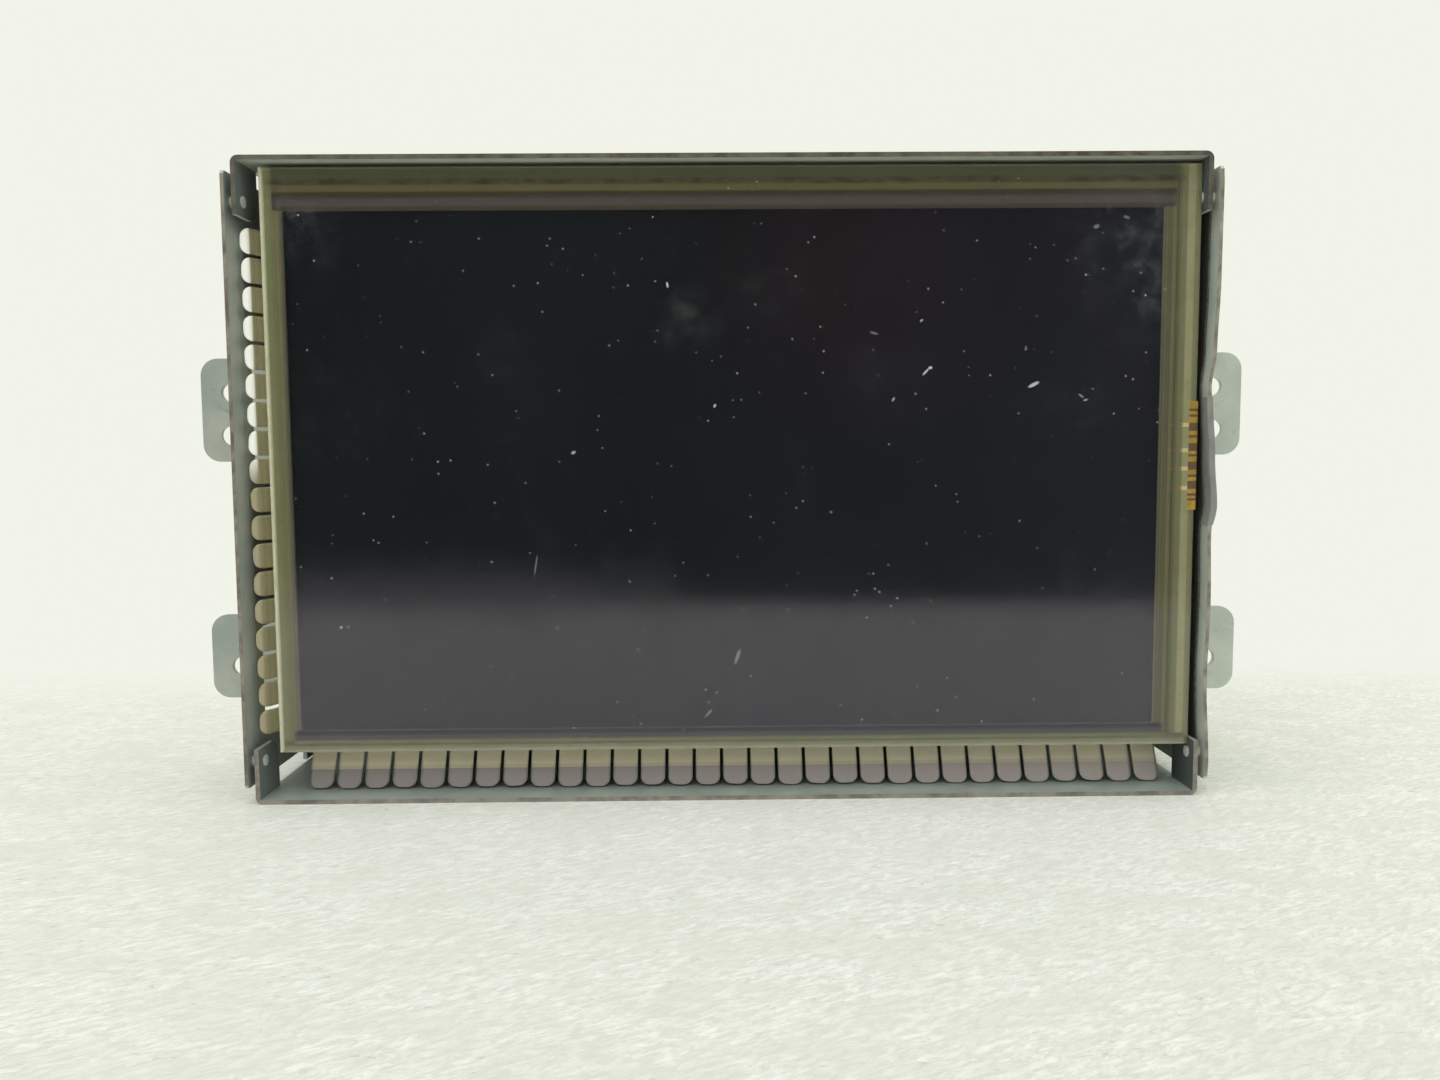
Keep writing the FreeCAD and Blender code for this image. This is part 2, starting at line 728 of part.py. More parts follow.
def touch_panel():
    """The flexible film, the glass behind it and the foam frame that seals it to the display."""
    film = slab("film_sheet", (touch_left, touch_right), (touch_front, glass_front),
                (touch_bottom, touch_top))
    notch = slab("film_notch", (touch_right - TAIL_INSIDE, touch_right + 1),
                 (touch_front - 1, glass_front),
                 (tail_centre - tail_width / 2 - 0.1, tail_centre + tail_width / 2 + 0.1))
    node(without("film_with_notch", film, [notch]), "touch_film")
    node(slab("touch_plate", (touch_left, touch_right), (glass_front, gasket_front),
              (touch_bottom, touch_top)), "touch_glass")
    outer = inset((lcd_left, lcd_right, lcd_bottom, lcd_top), 0.1)
    inner = (view_left - 0.9, view_right + gasket_width, view_bottom - 0.8, view_top + gasket_width)
    node(frame_ring("foam_frame", outer, inner, (gasket_front, bezel_front)), "touch_gasket")


TOUCH_SOCKET_X = 72.0
FLEX_STAND = 0.9


def touch_flex_tail():
    """The flexible circuit that folds over the panel's right edge and runs back to the board."""
    body = new_body("touch_flex_tail")
    start = touch_right - TAIL_INSIDE + 0.1
    out = touch_right + 0.4
    low = tail_centre - tail_width / 2
    back = board_rear + FLEX_STAND
    end = size(TOUCH_SOCKET_X - 1.5)
    route = sketch_on(body, "XY_Plane", low)
    outline(route, [
        (start, along(touch_front)), (out, along(touch_front), 0.35),
        (out, along(back + flex_gauge), 1.2), (end, along(back + flex_gauge)),
        (end, along(back)), (out - flex_gauge, along(back), 1.0),
        (out - flex_gauge, along(glass_front), 0.15), (start, along(glass_front))])
    pad(body, route, tail_width)
    neck = sketch_on(body, "YZ_Plane", 0)
    for near, far in ((low - 1, tail_centre - tail_neck / 2),
                      (tail_centre + tail_neck / 2, low + tail_width + 1)):
        rectangle(neck, (along(9.0), along(board_rear + 4)), (near, far))
    pocket(body, neck)
    return body


# ---------------------------------------------------------------------------------------------
# Display module
# ---------------------------------------------------------------------------------------------

LCD_OUTLINE = (lcd_left, lcd_right, lcd_bottom, lcd_top)


def lcd_sheet(name, margin, front, thickness):
    """A flat layer of the display, a margin inside the module's outline."""
    left, right, low, high = inset(LCD_OUTLINE, margin)
    node(slab(f"{name}_slab", (left, right), (front, front + thickness), (low, high)), name)


def lcd_shell(name, margin, front, back, wall, opening):
    """A thin pan with side walls; opening is cut through its floor, and None leaves it whole."""
    body = new_body(name)
    left, right, low, high = inset(LCD_OUTLINE, margin)
    outer = front_sketch(body, front)
    rectangle(outer, (left, right), (low, high))
    pad(body, outer, back - front, backwards=True)
    hollow = front_sketch(body, front if opening is None else back)
    rectangle(hollow, (left + wall, right - wall), (low + wall, high - wall))
    pocket(body, hollow, back - front - wall, backwards=opening is not None)
    if opening is not None:
        view = front_sketch(body, front)
        rectangle(view, opening[:2], opening[2:])
        pocket(body, view)
    return body


def display_layers():
    """The display's layers, from the metal bezel in front to the steel tray behind."""
    view = (view_left, view_right, view_bottom, view_top)
    lcd_shell("lcd_bezel", size(0), bezel_front, lcd_tray_back - 0.8, bezel_gauge, view)
    node(slab("front_polariser_sheet", (view_left - 1.2, view_right + 1.4),
              (polariser_front, cell_front), (view_bottom - 0.8, view_top + 2.1)), "front_polariser")
    lcd_sheet("lcd_glass_cell", size(0.6), cell_front, cell_gauge)
    lcd_sheet("rear_polariser", size(2.0), rear_polariser_front, polariser_gauge)
    lcd_sheet("prism_film", size(3.6), films_front, film_sheet)
    lcd_sheet("diffuser_film", size(3.6), films_front + film_sheet, film_sheet)
    left, right, low, high = inset(LCD_OUTLINE, 3.6)
    guide_low = low + 2.2
    node(slab("guide_plate", (left, right), (guide_front, reflector_front), (guide_low, high)),
         "light_guide")
    node(slab("reflector", (left, right), (reflector_front, reflector_back), (guide_low, high)),
         "reflector_sheet")
    outer = inset(LCD_OUTLINE, 1.1)
    node(frame_ring("mould_frame", outer, inset(LCD_OUTLINE, 3.5),
                    (films_front, reflector_back + fit_gap)), "lcd_mould_frame")
    lcd_shell("lcd_rear_tray", size(0.5), films_front, lcd_tray_back, lcd_tray_gauge, None)
    backlight(left, right, low)


def backlight(left, right, low):
    """The strip of lamps that shines up into the lower edge of the light guide."""
    node(slab("led_strip", (left, right), (guide_front, reflector_front), (low, low + 0.8)),
         "backlight_led_strip")
    lamps = []
    pitch = (right - left) / led_count
    for index in range(int(led_count.value)):
        middle = left + pitch * (index + 0.5)
        lamps.append(slab(f"lamp_{index + 1}", (middle - 1.75, middle + 1.75),
                          (guide_front + 0.7, reflector_front - 0.7), (low + 0.8, low + 2.0)))
    node(group("lamp_set", lamps), "backlight_leds")


DRIVER_BOARD = {"x": (-62.0, 64.0), "z": (62.0, 90.0)}


def driver_board():
    """The display's own circuit board with its driver chips and the flat cable's start."""
    front = lcd_tray_back + 0.3
    node(slab("driver_plate", DRIVER_BOARD["x"], (front, front + gauge), DRIVER_BOARD["z"]),
         "lcd_driver_board")
    chips = []
    for x in (-48.0, -26.0, 44.0):
        chips.append(slab(f"driver_{x}", (x, x + 10.0), (front + gauge, front + gauge + 1.1),
                          (70.0, 80.0)))
    node(group("driver_set", chips), "lcd_driver_chips")


FLEX_X = (6.5, 33.5)
FLEX_TURN = 84.0
LCD_SOCKET_TOP = 77.0


def lcd_flex():
    """The flat cable from the driver board through the holder and the board to its connector."""
    body = new_body("lcd_flex_cable")
    front = lcd_tray_back + 0.3 + gauge
    back = board_rear + FLEX_STAND
    turn = size(FLEX_TURN)
    low = size(LCD_SOCKET_TOP - 1.5)
    route = sketch_on(body, "YZ_Plane", FLEX_X[0])
    outline(route, [
        (along(front), turn - 8), (along(front), turn + flex_gauge, 1.0),
        (along(back + flex_gauge), turn + flex_gauge, 1.2), (along(back + flex_gauge), low),
        (along(back), low), (along(back), turn, 1.0),
        (along(front + flex_gauge), turn, 0.8), (along(front + flex_gauge), turn - 8)])
    pad(body, route, FLEX_X[1] - FLEX_X[0])
    return body


# ---------------------------------------------------------------------------------------------
# Spring finger strips
# ---------------------------------------------------------------------------------------------

def finger_profile(root, knee, tip, lean):
    """Side view of a strip as (depth, distance out from the holder's wall) corners.

    The strip lies on the wall, turns back on itself at its root depth and springs forward over
    its knee to its tip, both (depth, distance); lean is a finger's thickness along the depth.
    """
    clear = size(0.02)
    inner_base = finger_gauge + clear
    front = root - 3.0
    return [(front, clear), (root + lean * 1.6, clear), (knee[0] + lean, knee[1]),
            (tip[0] + lean, tip[1]), tip, knee, (root, inner_base), (front, inner_base)]


def slot_outline(reach):
    """The gap between two fingers as (across, distance out) corners, wide where tips are round."""
    half_gap = finger_gap / 2
    half_mouth = finger_pitch / 2 - 0.1
    start = finger_gauge + 0.35
    return [(-half_mouth, reach + 0.5), (-half_mouth, reach), (-half_gap, reach, finger_tip),
            (-half_gap, start), (half_gap, start), (half_gap, reach, finger_tip),
            (half_mouth, reach), (half_mouth, reach + 0.5)]


def left_spring_fingers():
    """The finger strip between the holder's left wall and the left bracket."""
    body = new_body("left_spring_fingers")
    wall = lcd_left - fit_gap - holder_gauge
    reach = wall + bracket_inner - 0.05
    profile = sketch_on(body, "XY_Plane", left_strip_bottom)
    sides = finger_profile(size(12.4), (size(5.9), reach - 0.95), (size(4.9), reach),
                           finger_gauge * 2.3)
    outline(profile, [(wall - out, along(depth)) for depth, out in sides])
    pad(body, profile, finger_pitch * left_fingers)
    slot = front_sketch(body, 0)
    outline(slot, [(wall - out, left_strip_bottom + across, *radius)
                   for across, out, *radius in slot_outline(reach)])
    repeat(body, pocket(body, slot), slot, "V_Axis", finger_pitch, left_fingers + 1)
    return body


def bottom_spring_fingers():
    """The finger strip between the holder's floor and the bottom plate."""
    body = new_body("bottom_spring_fingers")
    wall = lcd_bottom - fit_gap - holder_gauge
    reach = wall - gauge - 0.05
    profile = sketch_on(body, "YZ_Plane", bottom_strip_left)
    sides = finger_profile(size(9.6), (size(6.2), reach - 1.0), (size(5.7), reach),
                           finger_gauge * 1.15)
    outline(profile, [(along(depth), wall - out) for depth, out in sides])
    pad(body, profile, finger_pitch * bottom_fingers)
    slot = front_sketch(body, 0)
    outline(slot, [(bottom_strip_left + across, wall - out, *radius)
                   for across, out, *radius in slot_outline(reach)])
    repeat(body, pocket(body, slot), slot, "H_Axis", finger_pitch, bottom_fingers + 1)
    return body


# ---------------------------------------------------------------------------------------------
# Display holder and control board
# ---------------------------------------------------------------------------------------------

LCD_POST_PLACES = ((-60.0, 20.0), (62.0, 20.0), (-60.0, 98.0), (62.0, 98.0))
BOARD_POST_PLACES = ((-70.0, 14.0), (70.0, 14.0), (-70.0, 98.0), (70.0, 98.0))
FLEX_SLOT_MARGIN = 1.0
WING_HALF = 6.0


def display_holder():
    """The pan that carries the display, with wings that reach out to the side brackets."""
    body = new_body("display_holder")
    margin = fit_gap + holder_gauge
    left, right, low, high = inset(LCD_OUTLINE, -margin)
    block = front_sketch(body, holder_front)
    rectangle(block, (left, right), (low, high))
    pad(body, block, holder_rear - holder_front, backwards=True)
    hollow = front_sketch(body, holder_front)
    rectangle(hollow, (left + holder_gauge, right - holder_gauge),
              (low + holder_gauge, high - holder_gauge))
    pocket(body, hollow, holder_back - holder_front)
    for side, near in ((-1, left), (1, right)):
        for height in SIDE_SCREW_HEIGHTS:
            holder_wing(body, side, near - side, height)
    drill_holder(body)
    return body


def holder_wing(body, side, root, height):
    """An L-shaped wing from the holder's back out to a side bracket, round a screw's height."""
    wing = sketch_on(body, "XY_Plane", height - WING_HALF)
    edge = bracket_inner - fit_gap
    step = edge - holder_gauge
    outline(wing, [(root, along(holder_back)), (edge * side, along(holder_back)),
                   (edge * side, along(board_front)), (step * side, along(board_front)),
                   (step * side, along(holder_rear)), (root, along(holder_rear))])
    pad(body, wing, 2 * WING_HALF)


def drill_holder(body):
    """Cut the holder's screw holes and the slot for the flat cable."""
    holes = front_sketch(body, holder_back)
    for x, z in LCD_POST_PLACES:
        circle(holes, x, z, screw_hole)
    rectangle(holes, (FLEX_X[0] - FLEX_SLOT_MARGIN, FLEX_X[1] + FLEX_SLOT_MARGIN),
              (FLEX_TURN - 1.2, FLEX_TURN + 1.4))
    pocket(body, holes)
    sides = sketch_on(body, "YZ_Plane", 0)
    for height in SIDE_SCREW_HEIGHTS:
        circle(sides, along(HOLDER_SCREW_DEPTH), height, screw_hole)
    pocket(body, sides)


def threaded_post(name, radius, front, back, x, z):
    """A round post with a hole down its middle."""
    post = rod(f"{name}_bar", "y", radius, size(back) - front, x, front, z)
    bore = rod(f"{name}_bore", "y", screw_hole, size(back) - front + 2, x, size(front) - 1, z)
    return without(name, post, [bore])


def posts_and_screws():
    """Spacers behind the display, pillars under the board and the screws of both."""
    lcd_posts = []
    lcd_screws = []
    for index, (x, z) in enumerate(LCD_POST_PLACES):
        lcd_posts.append(threaded_post(f"lcd_post_{index}", 3.0, lcd_tray_back, holder_back, x, z))
        lcd_screws.append(pan_head_screw(f"lcd_screw_{index}", "-y", 3.2, x, holder_rear, z))
    pillars = []
    board_screws = []
    for index, (x, z) in enumerate(BOARD_POST_PLACES):
        pillars.append(threaded_post(f"pillar_{index}", 3.0, holder_rear, board_front, x, z))
        board_screws.append(pan_head_screw(f"board_screw_{index}", "-y", 5.0, x, board_rear, z))
    node(group("lcd_post_set", lcd_posts), "lcd_spacers")
    node(group("lcd_screw_set", lcd_screws), "lcd_screws")
    node(group("pillar_set", pillars), "board_pillars")
    node(group("board_screw_set", board_screws), "board_screws")


def main_board():
    """The control board with its screw holes and the slot for the flat cable."""
    plate = slab("board_plate", (board_left, board_right), (board_front, board_rear),
                 (board_bottom, board_top))
    cuts = [slab("board_slot", (FLEX_X[0] - FLEX_SLOT_MARGIN, FLEX_X[1] + FLEX_SLOT_MARGIN),
                 (board_front - 1, board_rear + 1), (FLEX_TURN - 1.2, FLEX_TURN + 1.4))]
    for x, z in BOARD_POST_PLACES:
        cuts.append(rod("board_hole", "y", screw_hole, board_gauge + 2, x, board_front - 1, z))
    node(without("drilled_board", plate, cuts), "main_board")


def on_board(name, x, z, height, start=0):
    """A block that stands on the rear face of the board."""
    base = board_rear + start
    return slab(name, x, (base, base + height), z)


def chip(name, x, z, width, tall, height):
    """A chip package given by its middle and its size."""
    return on_board(name, (x - width / 2, x + width / 2), (z - tall / 2, z + tall / 2), height)


def board_chips():
    """The chips and the shielding can on the rear of the board."""
    node(chip("graphics_chip", -16.5, 62.0, 23.0, 23.0, 1.6), "graphics_processor")
    node(group("memory_set", [chip("memory_1", 8.0, 60.0, 11.0, 13.0, 1.1),
                              chip("memory_2", 23.0, 60.0, 11.0, 13.0, 1.1)]), "memory_chips")
    can = chip("shield_box", -52.0, 74.0, 30.0, 26.0, 4.0)
    soft = rounded("shield_soft", can, 0.8, lambda edge: edge.BoundBox.YMin > can_top())
    inside = chip("shield_hollow", -52.0, 74.0, 29.4, 25.4, 3.7)
    node(without("shield_shell", soft, [inside]), "shield_can")
    node(chip("touch_chip", 62.0, 44.0, 7.0, 7.0, 1.0), "touch_controller")
    node(group("regulator_set", [chip(f"regulator_{z}", -64.0, z, 6.6, 6.2, 2.3)
                                 for z in (34.0, 44.0, 54.0)]), "voltage_regulators")
    node(group("coil_set", [power_coil(x) for x in (44.0, 59.0)]), "backlight_coils")
    passives()


def can_top():
    """The Y just below the shielding can's rear face."""
    return along(board_rear).value + 3.9


def power_coil(x):
    """A shielded power coil with rounded upright edges."""
    block = chip(f"coil_{x}", x, 92.0, 12.0, 12.0, 5.0)
    return rounded(f"coil_round_{x}", block, 2.5, is_along_depth)


def is_along_depth(edge):
    """Tell whether an edge runs straight back."""
    return edge.BoundBox.XLength < 0.01 and edge.BoundBox.ZLength < 0.01


def passives():
    """Small chip capacitors in rows beside the processor and the memories."""
    bits = []
    for row, z in enumerate((46.0, 48.4)):
        for column in range(12):
            bits.append(chip(f"bit_{row}_{column}", -27.0 + column * 5.0, z, 1.6, 0.8, 0.8))
    node(group("bit_set", bits), "chip_capacitors")


def electrolytic_capacitors():
    """Four can capacitors on square bases."""
    cans = []
    for x in (16.0, 27.0, 38.0, 49.0):
        base = on_board(f"can_base_{x}", (x - 4.3, x + 4.3), (17.7, 26.3), 1.2)
        bar = rod(f"can_bar_{x}", "y", 4.0, 9.0, x, board_rear + 1.0, 22.0)
        cans.append(joined(f"can_{x}", [base, bar]))
    node(group("can_set", cans), "electrolytic_capacitors")


# ---------------------------------------------------------------------------------------------
# Connectors
# ---------------------------------------------------------------------------------------------

SOCKET_WALL = 1.2
SOCKET_DEPTH = 11.0
KEY_HALF = 2.5
PIN_HALF = 0.32
PIN_LENGTH = 6.0


def wire_socket(name, socket, columns, rows, pitch):
    """A moulded socket open to the rear, and its pins."""
    body = new_body(name)
    shell = front_sketch(body, board_rear)
    rectangle(shell, socket["x"], socket["z"], 0.6)
    pad(body, shell, unit_depth - board_rear, backwards=True)
    left, right = socket["x"]
    low, high = socket["z"]
    mouth = front_sketch(body, unit_depth)
    rectangle(mouth, (left + SOCKET_WALL, right - SOCKET_WALL), (low + SOCKET_WALL, high - SOCKET_WALL))
    pocket(body, mouth, SOCKET_DEPTH, backwards=True)
    key = front_sketch(body, unit_depth)
    middle = (left + right) / 2
    rectangle(key, (middle - KEY_HALF, middle + KEY_HALF), (high - SOCKET_WALL - 0.2, high - 0.4))
    pocket(body, key, SOCKET_DEPTH - 2, backwards=True)
    floor = unit_depth - SOCKET_DEPTH
    pins = []
    for column in range(columns):
        for row in range(rows):
            x = middle + (column - (columns - 1) / 2) * pitch
            z = (low + high) / 2 + (row - (rows - 1) / 2) * pitch
            pins.append(slab(f"{name}_pin", (x - PIN_HALF, x + PIN_HALF), (floor, floor + PIN_LENGTH),
                             (z - PIN_HALF, z + PIN_HALF)))
    node(group(f"{name}_pin_set", pins), f"{name}_pins")


LOCAL_FACE = unit_depth / 2
LATCH_PIVOT_RADIUS = 0.3
LATCH_PIVOT_DROP = 4.7
LATCH_PIVOT_STAND = 1.5
LATCH_REACH = 2.3


def flat_cable_socket(prefix, width, x, z, turn):
    """A flip-lock socket and its latch, built along X with its mouth up, then turned about Y.

    The local origin is the middle of the mouth on the board's face.
    """
    half = width / 2
    cheek = 0.8
    face = LOCAL_FACE
    pivot = face + LATCH_PIVOT_STAND
    front = slab(f"{prefix}_front", (-half, half), (face, face + 2.0), (-4.0, 0.0))
    heel = slab(f"{prefix}_heel", (-half, half), (face, face + 1.0), (-6.6, -4.0))
    cheeks = [slab(f"{prefix}_cheek", ends, (face, face + 2.0), (-6.0, -4.0))
              for ends in ((-half, -half + cheek), (half - cheek, half))]
    slit = slab(f"{prefix}_slit", (-half + cheek, half - cheek), (face + 0.8, face + 1.25),
                (-1.8, 1.0))
    holes = rod(f"{prefix}_pivots", "x", LATCH_PIVOT_RADIUS + 0.05, width + 2, -half - 1,
                pivot, -LATCH_PIVOT_DROP)
    blank = joined(f"{prefix}_blank", [front, heel] + cheeks)
    socket = without(f"{prefix}_socket", blank, [slit, holes])
    seat(node(socket, f"{prefix}_connector"), x, z, turn)
    inner_half = half - cheek - 0.1
    plate = slab(f"{prefix}_plate", (-inner_half, inner_half), (pivot - 0.35, pivot + 0.35),
                 (-LATCH_PIVOT_DROP - LATCH_REACH, -LATCH_PIVOT_DROP))
    barrel = rod(f"{prefix}_barrel", "x", 0.4, inner_half * 2, -inner_half, pivot, -LATCH_PIVOT_DROP)
    pins = rod(f"{prefix}_trunnions", "x", LATCH_PIVOT_RADIUS, width - 0.2, -half + 0.1,
               pivot, -LATCH_PIVOT_DROP)
    latch = joined(f"{prefix}_lever", [plate, barrel, pins])
    seat(node(latch, f"{prefix}_latch"), x, z, turn)


def seat(thing, x, z, turn):
    """Turn a locally built piece about Y and stand it on the rear face of the board."""
    thing.Placement = FreeCAD.Placement(FreeCAD.Vector(),
                                        FreeCAD.Rotation(FreeCAD.Vector(0, 1, 0), turn))
    put(thing, x, board_rear, z)


# ---------------------------------------------------------------------------------------------
# Assembly, checks and export
# ---------------------------------------------------------------------------------------------

def build():
    """Make every sub-part."""
    chassis_plate("top_plate", True)
    chassis_plate("bottom_plate", False)
    side_bracket("left_side_bracket", -1, taped=False)
    side_bracket("right_side_bracket", 1, taped=True)
    bracket_liner()
    edge_tape()
    rear_cover()
    corner_rivets()
    side_screws()
    cover_screws()
    touch_panel()
    touch_flex_tail()
    display_layers()
    driver_board()
    lcd_flex()
    left_spring_fingers()
    bottom_spring_fingers()
    display_holder()
    posts_and_screws()
    main_board()
    board_chips()
    electrolytic_capacitors()
    wire_socket("power_connector", POWER_SOCKET, 8, 2, 2.5)
    wire_socket("video_connector", VIDEO_SOCKET, 5, 2, 2.5)
    flat_cable_socket("lcd_flex", 29.0, (FLEX_X[0] + FLEX_X[1]) / 2, LCD_SOCKET_TOP, 0)
    flat_cable_socket("touch_flex", 11.0, TOUCH_SOCKET_X, tail_centre, 90)


def check():
    """Stop unless every object is sound and every sub-part has a closed shape."""
    for thing in doc.Objects:
        failed = {"Invalid", "Error"} & set(thing.State)
        if failed:
            raise RuntimeError(f"{thing.Label}: {sorted(failed)}")
    for thing in nodes:
        shape = thing.Shape
        if shape.isNull() or not shape.isValid() or not shape.Solids:
            raise RuntimeError(f"{thing.Label}: the shape is empty or not valid")


def export():
    """Write each sub-part to its own STEP file."""
    os.makedirs("parts", exist_ok=True)
    for thing in nodes:
        thing.Shape.exportStep(f"parts/{thing.Label}.step")
        box = thing.Shape.BoundBox
        print(f"{thing.Label:26s} solids {len(thing.Shape.Solids):3d} volume {thing.Shape.Volume:9.1f}"
              f"  X {box.XMin:7.2f} {box.XMax:7.2f}  Y {box.YMin:7.2f} {box.YMax:7.2f}"
              f"  Z {box.ZMin:7.2f} {box.ZMax:7.2f}")


build()
doc.recompute()
check()
export()
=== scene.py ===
"""Looks of the in-dash navigation display unit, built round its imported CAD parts.

Everything is in metres in the frame of the CAD parts: X runs to the right as the driver sees
the screen, Y runs back into the dashboard and Z runs up from the unit's bottom face. Lengths
are written in millimetres and turned into metres with MM.
"""
import json
import math
import random

import bmesh
import bpy
from mathutils import Matrix, Vector


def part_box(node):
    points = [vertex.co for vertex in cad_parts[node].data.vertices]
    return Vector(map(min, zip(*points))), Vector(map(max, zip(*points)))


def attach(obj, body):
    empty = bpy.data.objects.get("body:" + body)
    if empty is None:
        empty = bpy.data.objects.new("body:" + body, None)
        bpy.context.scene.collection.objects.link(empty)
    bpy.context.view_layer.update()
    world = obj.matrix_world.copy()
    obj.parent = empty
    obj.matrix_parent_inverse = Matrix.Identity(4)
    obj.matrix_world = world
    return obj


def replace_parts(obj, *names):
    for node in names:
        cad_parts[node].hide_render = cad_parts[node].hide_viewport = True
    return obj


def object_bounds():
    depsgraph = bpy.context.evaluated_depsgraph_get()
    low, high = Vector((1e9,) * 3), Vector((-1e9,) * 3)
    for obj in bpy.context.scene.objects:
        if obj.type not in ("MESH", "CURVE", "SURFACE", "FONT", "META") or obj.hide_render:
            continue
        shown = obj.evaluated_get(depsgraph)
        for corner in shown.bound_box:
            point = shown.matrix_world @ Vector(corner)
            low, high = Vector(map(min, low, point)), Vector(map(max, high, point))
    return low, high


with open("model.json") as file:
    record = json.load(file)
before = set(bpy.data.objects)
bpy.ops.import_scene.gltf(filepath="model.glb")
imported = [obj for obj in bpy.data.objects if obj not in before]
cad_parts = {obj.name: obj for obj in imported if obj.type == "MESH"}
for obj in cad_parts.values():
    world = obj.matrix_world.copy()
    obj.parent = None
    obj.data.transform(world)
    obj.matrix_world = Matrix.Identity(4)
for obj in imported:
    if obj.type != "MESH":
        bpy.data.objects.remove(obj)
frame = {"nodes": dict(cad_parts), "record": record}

MM = 0.001
cad_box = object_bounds()
front_edge = cad_box[0].y
random.seed(7)


# ---------------------------------------------------------------------------------------------
# Node trees
# ---------------------------------------------------------------------------------------------

def tone(red, green, blue):
    """A colour given as 0 to 255 screen values, as the linear colour that shaders use."""
    return tuple((value / 255 / 12.92) if value <= 10 else ((value / 255 + 0.055) / 1.055) ** 2.4
                 for value in (red, green, blue))


class Wire:
    """A node's output that sums and comparisons turn into further nodes."""

    def __init__(self, finish, socket):
        self.finish = finish
        self.socket = socket

    def calc(self, operation, *others):
        """A further node that works out an arithmetic operation on this output and others."""
        node = self.finish.add("ShaderNodeMath", operation=operation)
        for slot, value in zip(node.inputs, (self, *others)):
            self.finish.feed(slot, value)
        return Wire(self.finish, node.outputs[0])

    def __add__(self, other):
        return self.calc("ADD", other)

    def __sub__(self, other):
        return self.calc("SUBTRACT", other)

    def __mul__(self, other):
        return self.calc("MULTIPLY", other)

    def __rsub__(self, other):
        return (self * -1.0) + other

    def largest(self, other):
        return self.calc("MAXIMUM", other)

    def smallest(self, other):
        return self.calc("MINIMUM", other)

    def size(self):
        return self.calc("ABSOLUTE")

    def rise(self, low, high, start=0.0, end=1.0):
        """Start below low, end above high, and a smooth step between them."""
        node = self.finish.add("ShaderNodeMapRange", interpolation_type="SMOOTHSTEP")
        for slot, value in zip(node.inputs, (self, low, high, start, end)):
            self.finish.feed(slot, value)
        return Wire(self.finish, node.outputs[0])

    def band(self, low, high, soft):
        """One between low and high, nothing outside, with soft edges."""
        return self.rise(low - soft, low + soft) * self.rise(high - soft, high + soft, 1.0, 0.0)


# Half the width in mm of the change from one printed band to the next.
BAND_SOFT = 0.09


